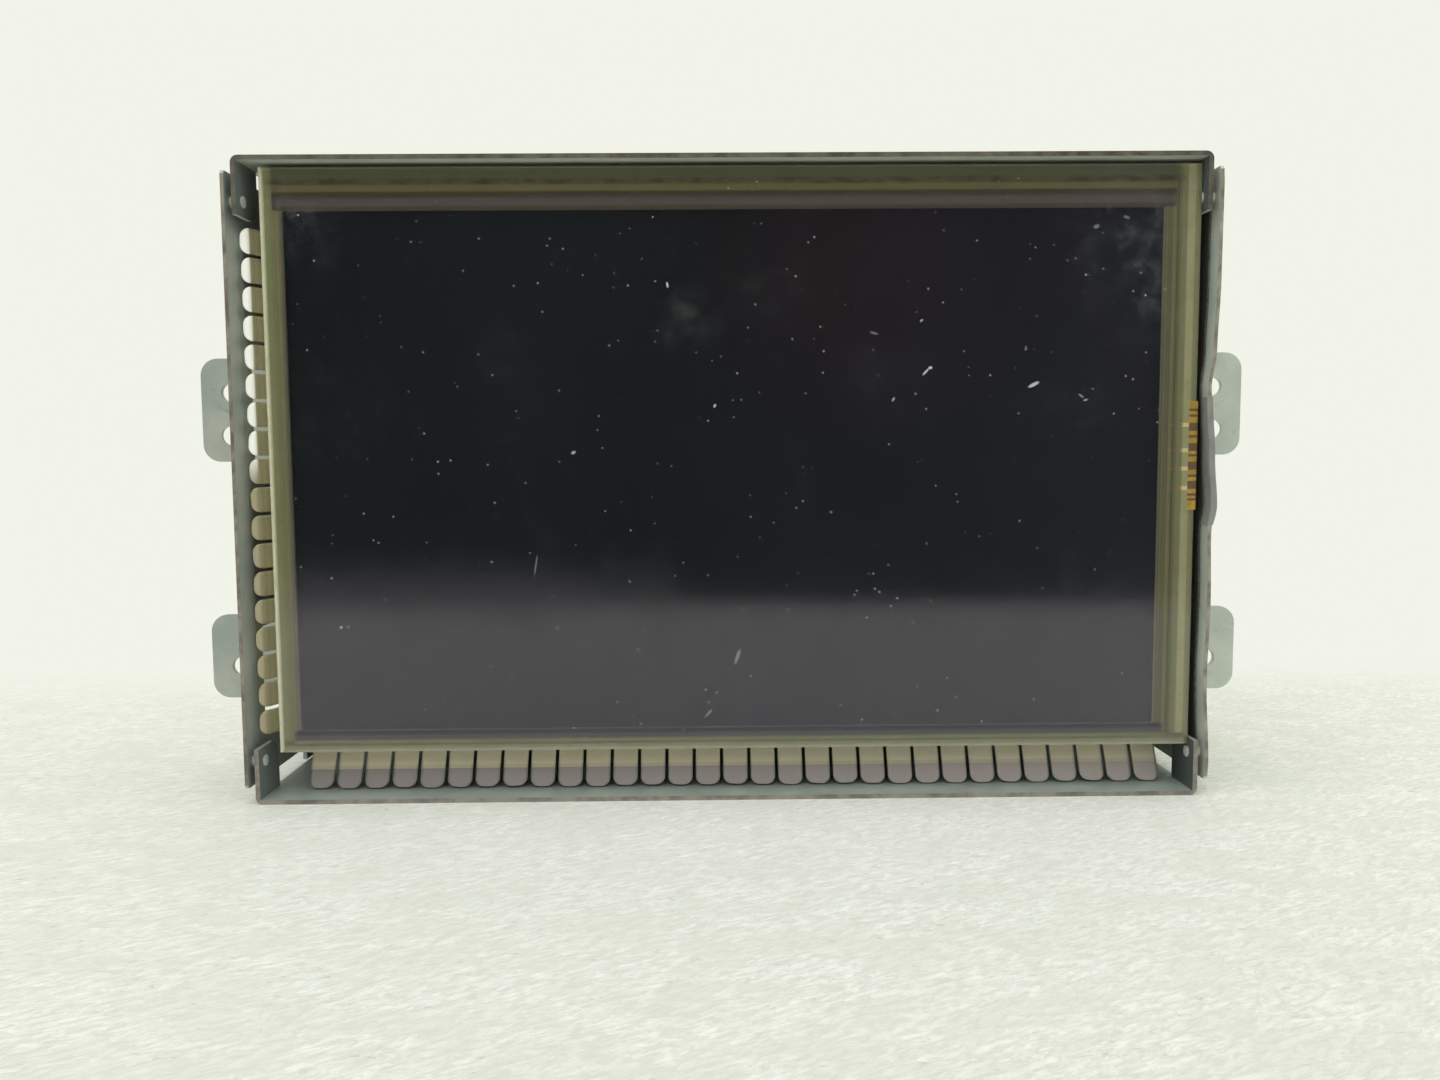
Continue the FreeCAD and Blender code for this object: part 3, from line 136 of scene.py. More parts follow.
class Finish:
    """A procedural material being built, with short calls for the nodes used here."""

    def __init__(self, name):
        self.material = bpy.data.materials.new(name)
        self.material.use_nodes = True
        self.nodes = self.material.node_tree.nodes
        self.links = self.material.node_tree.links
        self.nodes.clear()
        self.place = self.add("ShaderNodeTexCoord").outputs["Object"]
        self.x, self.y, self.z = self.axes(self.place)
        facing = self.add("ShaderNodeNewGeometry").outputs["True Normal"]
        self.face_x, self.face_y, self.face_z = self.axes(facing)

    def add(self, kind, **settings):
        """A new node of a kind, with its settings."""
        node = self.nodes.new(kind)
        for key, value in settings.items():
            setattr(node, key, value)
        return node

    def feed(self, slot, value):
        """Link a socket to a wire, or set it to a constant."""
        if isinstance(value, Wire):
            self.links.new(value.socket, slot)
        elif isinstance(value, bpy.types.NodeSocket):
            self.links.new(value, slot)
        elif isinstance(value, tuple) and len(slot.default_value) > len(value):
            slot.default_value = (*value, 1.0)
        else:
            slot.default_value = value

    def axes(self, vector):
        """The three parts of a vector as wires."""
        parts = self.add("ShaderNodeSeparateXYZ")
        self.feed(parts.inputs[0], vector)
        return [Wire(self, output) for output in parts.outputs]

    def stretched(self, stretch, shift, turn=0.0):
        """The place on the piece in units of stretch millimetres along axes turned about Z."""
        node = self.add("ShaderNodeMapping", vector_type="TEXTURE")
        self.feed(node.inputs["Vector"], self.place)
        self.feed(node.inputs["Scale"], tuple(part * MM for part in stretch))
        self.feed(node.inputs["Rotation"], (0.0, 0.0, turn))
        self.feed(node.inputs["Location"], tuple(-shift * lead * part * MM
                                                 for lead, part in zip((1.0, 1.7, 2.3), stretch)))
        return node.outputs[0]

    def noise(self, grain, stretch=(1, 1, 1), shift=0.0, detail=3.0, roughness=0.55, warp=0.0,
              turn=0.0):
        """Cloudy noise with lumps of about grain millimetres, longer where stretch is larger."""
        node = self.add("ShaderNodeTexNoise")
        self.feed(node.inputs["Vector"], self.stretched([grain * part for part in stretch], shift, turn))
        self.feed(node.inputs["Scale"], 1.0)
        self.feed(node.inputs["Detail"], detail)
        self.feed(node.inputs["Roughness"], roughness)
        self.feed(node.inputs["Distortion"], warp)
        return Wire(self, node.outputs["Fac"])

    def cells(self, grain, stretch=(1, 1, 1), shift=0.0, spread=1.0):
        """Distance to the nearest of many scattered points, about grain millimetres apart."""
        node = self.add("ShaderNodeTexVoronoi")
        self.feed(node.inputs["Vector"], self.stretched([grain * part for part in stretch], shift))
        self.feed(node.inputs["Scale"], 1.0)
        self.feed(node.inputs["Randomness"], spread)
        return Wire(self, node.outputs["Distance"])

    def bands(self, wire, stops):
        """Flat bands of colour along a wire; each stop is (where it starts in mm, colour)."""
        low = stops[0][0]
        span = stops[-1][0] + 1.0 - low
        node = self.add("ShaderNodeValToRGB")
        self.feed(node.inputs[0], wire.calc("MULTIPLY_ADD", 1 / MM / span, -low / span))
        elements = node.color_ramp.elements
        elements.remove(elements[1])
        elements[0].position = 0.0
        elements[0].color = (*stops[0][1], 1.0)
        for (_, before), (start, after) in zip(stops, stops[1:]):
            for place, colour in ((start - BAND_SOFT, before), (start + BAND_SOFT, after)):
                element = elements.new((place - low) / span)
                element.color = (*colour, 1.0)
        return Wire(self, node.outputs[0])

    def spot(self, x, z, radius):
        """One at a place (x, z) given in millimetres, fading evenly out to a radius."""
        across = self.x - x * MM
        up = self.z - z * MM
        away = (across * across + up * up).calc("SQRT")
        return away.rise(0.0, radius * MM, 1.0, 0.0)

    def fleck(self, x, z, length, width, angle):
        """One inside a small tilted stroke, given in millimetres and degrees."""
        lean = math.radians(angle)
        right = (self.x - x * MM) * (1 / MM)
        up = (self.z - z * MM) * (1 / MM)
        along = (right * math.cos(lean) + up * math.sin(lean)) * (1 / length)
        across = (up * math.cos(lean) - right * math.sin(lean)) * (1 / width)
        return (along * along + across * across).rise(0.35, 1.0, 1.0, 0.0)

    def blend(self, share, below, above):
        """The colour below, covered by the colour above where share is one."""
        node = self.add("ShaderNodeMix", data_type="RGBA")
        self.feed(node.inputs[0], share)
        self.feed(node.inputs[6], below)
        self.feed(node.inputs[7], above)
        return Wire(self, node.outputs[2])

    def bump(self, height, depth):
        """A normal from a height pattern; depth is its height in millimetres."""
        node = self.add("ShaderNodeBump")
        self.feed(node.inputs["Strength"], 1.0)
        self.feed(node.inputs["Distance"], depth * MM)
        self.feed(node.inputs["Height"], height)
        return node.outputs[0]

    def surface(self, colour, roughness, metal=0.0, normal=None, **sockets):
        """Close the tree with a principled surface."""
        shader = self.add("ShaderNodeBsdfPrincipled")
        self.feed(shader.inputs["Base Color"], colour)
        self.feed(shader.inputs["Roughness"], roughness)
        self.feed(shader.inputs["Metallic"], metal)
        if normal is not None:
            self.feed(shader.inputs["Normal"], normal)
        for key, value in sockets.items():
            self.feed(shader.inputs[key.replace("_", " ")], value)
        return self.close(shader.outputs[0])

    def mix(self, share, below, above):
        """The shader below, covered by the shader above where share is one."""
        node = self.add("ShaderNodeMixShader")
        self.feed(node.inputs[0], share)
        self.feed(node.inputs[1], below)
        self.feed(node.inputs[2], above)
        return node.outputs[0]

    def plain_shader(self, kind, **sockets):
        """A shader node such as a diffuse or glossy one, by the end of its name."""
        shader = self.add(f"ShaderNode{kind}")
        for key, value in sockets.items():
            self.feed(shader.inputs[key], value)
        return shader.outputs[0]

    def close(self, shader):
        """Make a shader the material's surface."""
        output = self.add("ShaderNodeOutputMaterial")
        self.feed(output.inputs["Surface"], shader)
        return self.material


# ---------------------------------------------------------------------------------------------
# Metals
# ---------------------------------------------------------------------------------------------

SHEET_METALNESS = 0.15
ZINC_TONES = (tone(174, 184, 178), tone(156, 168, 165))
# How much painted shade darkens the upright faces of the folded tabs of the zinc-plated sheets.
TAB_SHADE = 0.68


def sheet_steel(name, plating_tones, edge_tones, rust_depth, tab_shade=0.0):
    """Zinc-plated sheet, handled and aged, whose cut front edge rusts to a depth in mm,
    with painted shade on its folded tabs and painted light on its undersides.
    """
    light, dark = plating_tones
    made = Finish(name)
    cloud = made.noise(9.0, detail=5.0)
    grain = made.noise(0.35, stretch=(6, 6, 1), detail=2.0)
    plating = made.blend(cloud.rise(0.3, 0.7), dark, light)
    plating = made.blend(grain.rise(0.35, 0.75) * 0.25, plating, dark)
    stain = made.noise(3.0, shift=31.0, detail=6.0, roughness=0.7).rise(0.6, 0.74)
    plating = made.blend(stain * 0.3, plating, tone(96, 98, 88))
    scratch = made.noise(0.5, stretch=(0.5, 14, 14), shift=5.0).rise(0.72, 0.76)
    scratch = scratch.largest(made.noise(0.45, stretch=(16, 16, 0.5), shift=9.0).rise(0.73, 0.77))
    plating = made.blend(scratch * 0.45, plating, tone(220, 222, 214))
    # Painted shade: the upright faces of the folded tabs are darkened, most where they look left.
    tab = made.face_x.size().rise(0.5, 0.8) * made.face_x.rise(-0.5, 0.5, 1.4, 1.0) * tab_shade
    plating = made.blend(tab, plating, tone(78, 86, 84))
    # Painted light: undersides are paler and a little yellow, as if lit from the table below.
    plating = made.blend(made.face_z.rise(-0.9, -0.5, 0.5, 0.0), plating, tone(214, 218, 196))
    # The cut edge faces the front, and rust creeps a little way back from it.
    inward = made.y - front_edge
    cut = inward.rise(0.02 * MM, 0.08 * MM, 1.0, 0.0)
    rust_grain = made.noise(1.6, stretch=(3.0, 1, 1.6), shift=17.0, detail=7.0, roughness=0.75)
    rust = rust_grain.rise(0.58, 0.66) * inward.rise(0.0, rust_depth * MM, 1.0, 0.0)
    rust_colour = made.blend(rust_grain.rise(0.62, 0.75), tone(128, 96, 82), tone(96, 62, 50))
    worn = made.noise(0.6, stretch=(5, 1, 5), shift=3.0, detail=4.0).rise(0.35, 0.7)
    edge = made.blend(worn, *edge_tones)
    colour = made.blend(cut, plating, edge)
    colour = made.blend(rust * 0.8, colour, rust_colour)
    fine = made.noise(0.12, detail=2.0)
    shine = cloud.rise(0.2, 0.8, 0.36, 0.52) + stain * 0.15
    shine = shine.largest(rust * 0.8).largest(cut * 0.55)
    metalness = (1.0 - rust.largest(stain * 0.5)) * SHEET_METALNESS
    normal = made.bump(fine * 0.5 + rust * 1.5 - scratch * 0.6, 0.012)
    return made.surface(colour, shine, metalness, normal)


def tinned_steel():
    """Bright tin plate of the display module and its holder, with fine rolling lines."""
    made = Finish("tinned_steel")
    lines = made.noise(0.3, stretch=(1, 1, 30), detail=2.0)
    haze = made.noise(6.0, shift=4.0, detail=4.0)
    colour = made.blend(haze.rise(0.3, 0.7), tone(140, 142, 134), tone(176, 178, 170))
    colour = made.blend(lines.rise(0.4, 0.8) * 0.3, colour, tone(110, 112, 106))
    return made.surface(colour, haze.rise(0.2, 0.8, 0.3, 0.45), 0.8, made.bump(lines, 0.004))


def screw_steel():
    """Passivated screws and rivets, mottled, and bright where a driver has slipped."""
    made = Finish("screw_steel")
    mottle = made.noise(0.7, detail=4.0)
    rub = made.noise(0.25, stretch=(1, 4, 1), shift=8.0).rise(0.6, 0.68)
    colour = made.blend(mottle.rise(0.3, 0.7), tone(150, 150, 140), tone(196, 194, 180))
    colour = made.blend(rub * 0.6, colour, tone(225, 224, 214))
    shine = mottle.rise(0.3, 0.7, 0.42, 0.26)
    return made.surface(colour, shine, 0.9, made.bump(mottle, 0.01))


def rivet_steel():
    """Rivet heads painted near white, a painted glint that stands out in the shaded tabs."""
    made = Finish("rivet_steel")
    mottle = made.noise(0.3, detail=3.0)
    colour = made.blend(mottle.rise(0.3, 0.7), tone(196, 198, 192), tone(250, 250, 246))
    return made.surface(colour, mottle.rise(0.3, 0.7, 0.3, 0.2), 0.25, made.bump(mottle, 0.02))


def fibre_grey():
    """Dull dark grey liner, a little paler where it lies less than about 4 mm behind the unit's front
    edge.
    """
    made = Finish("fibre_grey")
    weave = made.noise(0.4, detail=4.0)
    rub = (made.y - front_edge).rise(3.2 * MM, 4.2 * MM, 1.0, 0.0) * weave.rise(0.4, 0.7)
    colour = made.blend(weave.rise(0.3, 0.7), tone(66, 66, 62), tone(84, 84, 79))
    colour = made.blend(rub * 0.5, colour, tone(120, 120, 112))
    return made.surface(colour, 0.8, 0.0, made.bump(weave, 0.02))


def guard_cloth():
    """Woven grey adhesive tape, with grime worked into its weave."""
    made = Finish("guard_cloth")
    across = (made.z * (math.tau / MM / 0.45)).calc("SINE")
    along = ((made.x + made.y) * (math.tau / MM / 0.4)).calc("SINE")
    weave = (across * along).rise(-0.6, 0.6)
    soil = made.noise(1.6, stretch=(1, 1, 1.5), shift=3.0, detail=5.0).rise(0.4, 0.7)
    colour = made.blend(weave, tone(122, 125, 123), tone(146, 149, 146))
    colour = made.blend(soil * 0.4, colour, tone(104, 96, 94))
    return made.surface(colour, 0.7, 0.0, made.bump(weave, 0.05))


def spring_steel(name, across, lengthwise, knee, reflected_tip_tones, leaf_tones, change, sheen):
    """Spring strip with a khaki leaf up to the knee and, past it, a tip of another tone: a painted
    reflection.

    Both parts change tone along the strip between the two places of change, past which sheen
    brightens the tips; on the tips the change is painted reflection too. across and lengthwise are
    the axes along the strip and along a finger.
    """
    made = Finish(name)
    along = getattr(made, lengthwise)
    past_knee = along.rise(knee - 0.18 * MM, knee + 0.06 * MM, 1.0, 0.0)
    brushed = made.noise(0.25, stretch=(10, 10, 1) if across == "x" else (1, 10, 10), detail=3.0)
    share = getattr(made, across).rise(*change)
    leaf = made.blend(share, *leaf_tones)
    # The tip is a painted reflection, in tones that change along the strip.
    tip = made.blend(share, *reflected_tip_tones)
    colour = made.blend(past_knee, leaf, tip)
    # Painted shade darkens the bend at the knee.
    knee_shade = along.band(knee - 0.1 * MM, knee + 0.5 * MM, 0.2 * MM)
    colour = made.blend(knee_shade * 0.3, colour, tone(96, 88, 66))
    spots = made.cells(1.6, shift=2.0).rise(0.04, 0.12, 1.0, 0.0)
    colour = made.blend(spots * 0.3, colour, tone(120, 104, 84))
    colour = made.blend(brushed.rise(0.4, 0.8) * 0.04, colour, tone(96, 90, 74))
    shine = brushed.rise(0.3, 0.8, 0.3, 0.34)
    # A faint glow of the tips past the change stands for a lamp that the studio light lacks.
    beam = past_knee * share * sheen
    return made.surface(colour, shine, 0.2, made.bump(brushed, 0.0004),
                        Emission_Color=tone(255, 255, 246), Emission_Strength=beam)


# ---------------------------------------------------------------------------------------------
# Screen
# ---------------------------------------------------------------------------------------------

def touch_film():
    """Clear touch film: purple-tinged gloss over what lies below, with dust, lint and smears."""
    made = Finish("touch_film")
    front = made.face_y.rise(-0.9, -0.5, 1.0, 0.0)
    clear = made.plain_shader("BsdfTransparent", Color=(0.97, 0.97, 0.96))
    smear = made.noise(14.0, stretch=(1, 1, 1.6), shift=12.0, detail=5.0, roughness=0.6, warp=0.8)
    ripple = made.noise(30.0, shift=2.0, detail=1.0)
    gloss = made.plain_shader("BsdfGlossy", Color=(0.79, 0.76, 0.92),
                              Roughness=smear.rise(0.45, 0.75, 0.08, 0.16), Normal=made.bump(ripple, 0.02))
    fresnel = Wire(made, made.plain_shader("Fresnel", IOR=1.62))
    powder = made.plain_shader("BsdfDiffuse", Color=tone(206, 208, 216))
    layered = made.mix(fresnel * front, clear, gloss)
    return made.close(made.mix(settled_dust(made, smear) * front, layered, powder))


def settled_dust(made, smear):
    """How much dust covers the film: clouds of fine grains, a few larger ones and lint."""
    patchy = made.noise(4.0, shift=40.0, detail=9.0, roughness=0.78, warp=0.4)
    clouds = 0.0
    for x, z, radius, share in CLOUDS:
        clouds = made.spot(x, z, radius) * share + clouds
    haze = patchy.rise(0.42, 0.85) * clouds
    fine = made.cells(0.9, shift=3.0).rise(0.1, 0.24, 1.0, 0.0) * patchy.rise(0.48, 0.62)
    fine = fine * clouds * 1.6
    near = made.noise(11.0, shift=21.0, detail=3.0).rise(0.48, 0.62)
    grains = made.cells(2.4, shift=6.0).rise(0.045, 0.1, 1.0, 0.0) * near * 0.45
    grains = grains.largest(made.cells(5.0, shift=15.0).rise(0.018, 0.05, 1.0, 0.0) * 0.4)
    smudge = smear.rise(0.58, 0.8) * patchy.rise(0.35, 0.7) * 0.008
    lint = 0.0
    for x, z, length, width, angle, share in LINT:
        lint = made.fleck(x, z, length, width, angle) * share + lint
    return haze.largest(fine).largest(grains).largest(lint) + smudge


# Clouds of dust on the film as (x, z, radius, cover), in mm.
CLOUDS = ((-6.4, 84.0, 8.0, 0.06), (73.0, 88.0, 14.0, 0.05), (71.0, 102.0, 16.0, 0.08),
          (-69.0, 68.0, 16.0, 0.02), (-74.0, 103.0, 14.0, 0.07), (62.0, 70.0, 9.0, 0.03),
          (25.0, 72.0, 12.0, 0.02), (6.5, 89.0, 12.0, 0.02))

# Lint and scuffs on the film as (x, z, half length, half width, degrees, cover), in mm.
LINT = ((34.7, 74.8, 0.9, 0.2, 48, 0.6), (35.5, 75.5, 0.4, 0.28, 0, 0.7),
        (53.5, 72.5, 1.2, 0.35, 27, 0.5), (-9.9, 89.9, 0.6, 0.2, 100, 0.6),
        (33.9, 83.6, 0.4, 0.2, 45, 0.4), (25.7, 81.5, 0.9, 0.22, -15, 0.12),
        (61.8, 70.5, 0.7, 0.2, -35, 0.2), (62.6, 69.8, 0.5, 0.2, 20, 0.25),
        (63.9, 99.4, 0.6, 0.4, 20, 0.14), (69.1, 100.9, 0.7, 0.3, -20, 0.12),
        (-1.9, 69.2, 0.4, 0.25, 60, 0.45), (29.1, 70.1, 0.5, 0.22, 60, 0.3),
        (-26.5, 61.3, 0.5, 0.32, 30, 0.35), (1.8, 25.2, 1.7, 0.4, 70, 0.14),
        (-3.4, 15.1, 1.2, 0.25, 50, 0.12), (-33.4, 41.7, 2.2, 0.15, 80, 0.14),
        (-67.7, 31.0, 0.3, 0.3, 0, 0.4))


# What shows round the viewing area: seals, print and metal, as (start in mm, colour) going
# right along X on the two sides, and up along Z at the bottom and at the top.
LEFT_BANDS = ((-79.4, tone(255, 254, 229)), (-78.75, tone(183, 182, 146)), (-78.4, tone(158, 161, 122)),
              (-77.5, tone(147, 148, 110)), (-76.8, tone(134, 132, 102)), (-76.3, tone(108, 104, 90)))
RIGHT_BANDS = ((75.6, tone(77, 75, 61)), (76.0, tone(110, 107, 83)), (76.8, tone(89, 87, 71)),
               (77.2, tone(126, 123, 89)), (77.9, tone(105, 104, 82)), (78.2, tone(130, 129, 96)),
               (78.7, tone(153, 153, 116)), (79.7, tone(199, 195, 155)), (81.0, tone(158, 156, 119)),
               (81.5, tone(135, 135, 100)))
BOTTOM_BANDS = ((8.7, tone(184, 186, 165)), (8.94, tone(163, 164, 138)), (9.84, tone(132, 132, 100)),
                (10.74, tone(88, 87, 88)), (11.65, tone(61, 60, 69)))
TOP_BANDS = ((102.8, tone(80, 71, 63)), (103.45, tone(93, 86, 84)), (105.0, tone(86, 79, 61)),
             (105.8, tone(125, 118, 84)), (106.95, tone(106, 99, 79)), (108.0, tone(106, 108, 85)))
# The clear area that the bands leave, as its left, right, low and high sides in mm.
VIEWING_AREA = (-75.85, 75.9, 12.46, 102.8)


def border_print(made):
    """The bands round the viewing area, mottled with age, with a mottled painted shade along the top."""
    low, high = VIEWING_AREA[2:]
    soft = 0.05 * MM
    middle = made.x.rise(-1 * MM, 1 * MM)
    colour = made.blend(middle, made.bands(made.x, LEFT_BANDS), made.bands(made.x, RIGHT_BANDS))
    upper = made.z.rise(high * MM - soft, high * MM + soft) * made.x.band(-77.1 * MM, 77.7 * MM, 2 * soft)
    colour = made.blend(upper, colour, made.bands(made.z, TOP_BANDS))
    seal = made.z.rise(10.69 * MM, 10.79 * MM, 1.0, 0.0) * made.x.band(-78.4 * MM, 81.3 * MM, 2 * soft)
    lower = made.z.rise(low * MM - soft, low * MM + soft, 1.0, 0.0)
    lower = (lower * made.x.band(-76.6 * MM, 77.4 * MM, 2 * soft)).largest(seal)
    colour = made.blend(lower, colour, made.bands(made.z, BOTTOM_BANDS))
    mottle = made.noise(2.2, detail=5.0, roughness=0.65)
    colour = made.blend(mottle.rise(0.4, 0.75) * 0.16, colour, tone(84, 80, 56))
    # Painted shade: a mottled dark band near the top, where the top plate shades the border.
    painted_top_shade = made.noise(1.3, stretch=(2.5, 1, 1), shift=11.0, detail=6.0, roughness=0.7).rise(0.47, 0.6)
    painted_top_shade = painted_top_shade * made.z.band(107.0 * MM, 108.0 * MM, 0.3 * MM)
    return made.blend(painted_top_shade * 0.6, colour, tone(62, 50, 38))


def touch_glass():
    """Glass back sheet: clear over the viewing area, banded olive round it, with ground edges."""
    made = Finish("touch_glass")
    left, right, low, high = VIEWING_AREA
    soft = 0.06 * MM
    window = made.x.band(left * MM, right * MM, soft) * made.z.band(low * MM, high * MM, soft)
    printed = made.plain_shader("BsdfDiffuse", Color=flex_pads(made, border_print(made)))
    clear = made.plain_shader("BsdfTransparent", Color=(0.97, 0.97, 0.95))
    face = made.mix((1.0 - window) * 0.94, clear, printed)
    rim = made.face_y.size().rise(0.4, 0.7, 1.0, 0.0)
    chips = made.noise(0.4, shift=1.0).rise(0.4, 0.7)
    ground = made.add("ShaderNodeBsdfPrincipled")
    made.feed(ground.inputs["Base Color"], made.blend(chips, tone(150, 152, 128), tone(205, 206, 184)))
    made.feed(ground.inputs["Roughness"], 0.35)
    return made.close(made.mix(rim * 0.85, face, ground.outputs[0]))


# Heights of the four pads that meet the tail's broad tracks.
PAD_HEIGHTS = (54.35, 57.75, 60.95, 65.35)


def flex_pads(made, colour):
    """Gold pads that meet the tail's tracks, with faint tracks running left from them."""
    pads = 0.0
    tracks = 0.0
    for height in PAD_HEIGHTS:
        row = made.z.band((height - 0.35) * MM, (height + 0.35) * MM, 0.06 * MM)
        pads = row + pads
        tracks = made.z.band((height - 0.16) * MM, (height + 0.16) * MM, 0.06 * MM) + tracks
    tracks = tracks * made.x.band(77.4 * MM, 79.3 * MM, 0.1 * MM)
    colour = made.blend(tracks * 0.35, colour, tone(158, 142, 108))
    pads = pads * made.x.band(79.3 * MM, 80.9 * MM, 0.06 * MM)
    return made.blend(pads, colour, tone(196, 172, 124))


def border_sides(made, inner, left, right, bottom, top):
    """A colour for each side of a ring round the screen, meeting where the sides meet."""
    low, high = inner
    colour = made.blend(made.x.rise(low.x - 0.05 * MM, low.x + 0.05 * MM, 1.0, 0.0), right, left)
    colour = made.blend(made.z.rise(low.z - 0.05 * MM, low.z + 0.05 * MM, 1.0, 0.0), colour, bottom)
    return made.blend(made.z.rise(high.z - 0.05 * MM, high.z + 0.05 * MM), colour, top)


def gasket_foam():
    """Adhesive foam frame seen through the glass, olive with age, with a mottled painted shade along the
    top.
    """
    made = Finish("gasket_foam")
    inner = (Vector((-77.0, 0, 9.95)) * MM, Vector((78.2, 0, 104.85)) * MM)
    colour = border_sides(made, inner, tone(118, 120, 88), tone(128, 126, 92),
                          tone(150, 150, 116), tone(92, 94, 74))
    mottle = made.noise(2.2, detail=5.0, roughness=0.65)
    colour = made.blend(mottle.rise(0.35, 0.75) * 0.3, colour, tone(96, 92, 66))
    # Painted shade: a mottled dark band near the top, where the top plate shades the frame.
    painted_top_shade = made.noise(1.5, stretch=(2.5, 1, 1), shift=11.0, detail=6.0, roughness=0.7).rise(0.5, 0.62)
    painted_top_shade = painted_top_shade * made.z.band(106.9 * MM, 107.9 * MM, 0.35 * MM)
    colour = made.blend(painted_top_shade * 0.8, colour, tone(66, 52, 40))
    pores = made.cells(0.5).rise(0.1, 0.5)
    return made.surface(colour, 0.75, 0.0, made.bump(pores, 0.02))


def display_bezel():
    """Steel bezel of the display, olive at its sides and purplish grey above and below."""
    made = Finish("display_bezel")
    inner = (Vector((-76.1, 0, 10.75)) * MM, Vector((76.6, 0, 103.25)) * MM)
    colour = border_sides(made, inner, tone(108, 106, 74), tone(108, 106, 76),
                          tone(104, 102, 104), tone(92, 86, 84))
    streak = made.noise(1.0, stretch=(12, 1, 12), shift=2.0, detail=3.0)
    colour = made.blend(streak.rise(0.35, 0.7) * 0.25, colour, tone(84, 78, 66))
    return made.surface(colour, streak.rise(0.3, 0.8, 0.45, 0.6), 0.3, made.bump(streak, 0.004))


def lcd_black():
    """Polariser over the dark display: nearly black, faintly blue, slightly hazy."""
    made = Finish("lcd_black")
    drift = made.noise(60.0, detail=2.0)
    colour = made.blend(drift.rise(0.3, 0.7), tone(10, 10, 12), tone(15, 16, 19))
    # The black stops a little short of the polariser's left and right edges.
    low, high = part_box("front_polariser")
    edge = (made.x - low.x).smallest(high.x - made.x)
    rim = edge.rise(1.1 * MM, 1.3 * MM, 1.0, 0.0)
    colour = made.blend(rim, colour, tone(74, 70, 56))
    return made.surface(colour, 0.4, 0.0, Specular_IOR_Level=0.05)


def flex_amber():
    """Amber polyimide with copper tracks, broad ones in line with the pads and thin between."""
    made = Finish("flex_amber")
    tracks = 0.0
    for height, width in TAIL_TRACKS:
        tracks = made.z.band((height - width / 2) * MM, (height + width / 2) * MM, 0.08 * MM) + tracks
    mottle = made.noise(0.8, detail=4.0)
    film = made.blend(mottle.rise(0.3, 0.7), tone(150, 118, 36), tone(178, 142, 52))
    copper = made.blend(mottle.rise(0.3, 0.7), tone(92, 68, 52), tone(78, 58, 50))
    colour = made.blend(tracks.smallest(0.9), film, copper)
    # The clear glue beside the glass lets the border's tone and the pads show through.
    glue = flex_pads(made, made.blend(mottle, tone(142, 140, 106), tone(128, 126, 92)))
    colour = made.blend(made.x.rise(80.65 * MM, 80.8 * MM), glue, colour)
    return made.surface(colour, 0.35, 0.0, made.bump(tracks, 0.02), Coat_Weight=0.3)


# The tail's copper tracks as (height of the middle, width).
TAIL_TRACKS = ((67.95, 0.45), (66.95, 0.4), (65.0, 1.4), (63.35, 0.45), (61.5, 1.4), (60.05, 0.4),
               (58.25, 1.4), (56.5, 0.45), (54.9, 1.4), (53.2, 0.45), (52.35, 0.4))


# ---------------------------------------------------------------------------------------------
# Plastics, board and parts inside
# ---------------------------------------------------------------------------------------------

def mottled(name, first, second, grain, roughness, metal=0.0, relief=0.01, **sockets):
    """A plain moulded, printed or drawn surface with fine variation in colour and relief."""
    made = Finish(name)
    lumps = made.noise(grain, detail=5.0, roughness=0.6)
    fine = made.noise(grain * 0.12, shift=4.0, detail=2.0)
    colour = made.blend(lumps.rise(0.3, 0.7), first, second)
    shine = lumps.rise(0.25, 0.75, roughness * 0.85, roughness * 1.15)
    return made.surface(colour, shine, metal, made.bump(fine, relief), **sockets)


def board_green():
    """Solder mask over copper tracks, with small plated holes."""
    made = Finish("board_green")
    tracks = made.noise(3.0, stretch=(1, 1, 7), detail=1.0).band(0.47, 0.53, 0.01)
    tracks = tracks.largest(made.noise(3.0, stretch=(7, 1, 1), shift=9.0, detail=1.0)
                            .band(0.47, 0.53, 0.01))
    holes = made.cells(3.4, shift=2.0)
    ring = holes.band(0.07, 0.12, 0.01)
    colour = made.blend(tracks, tone(24, 74, 42), tone(38, 98, 58))
    colour = made.blend(ring, colour, tone(196, 180, 120))
    colour = made.blend(holes.rise(0.05, 0.07, 1.0, 0.0), colour, tone(20, 24, 20))
    return made.surface(colour, 0.35, 0.0, made.bump(tracks, 0.03), Coat_Weight=0.4)


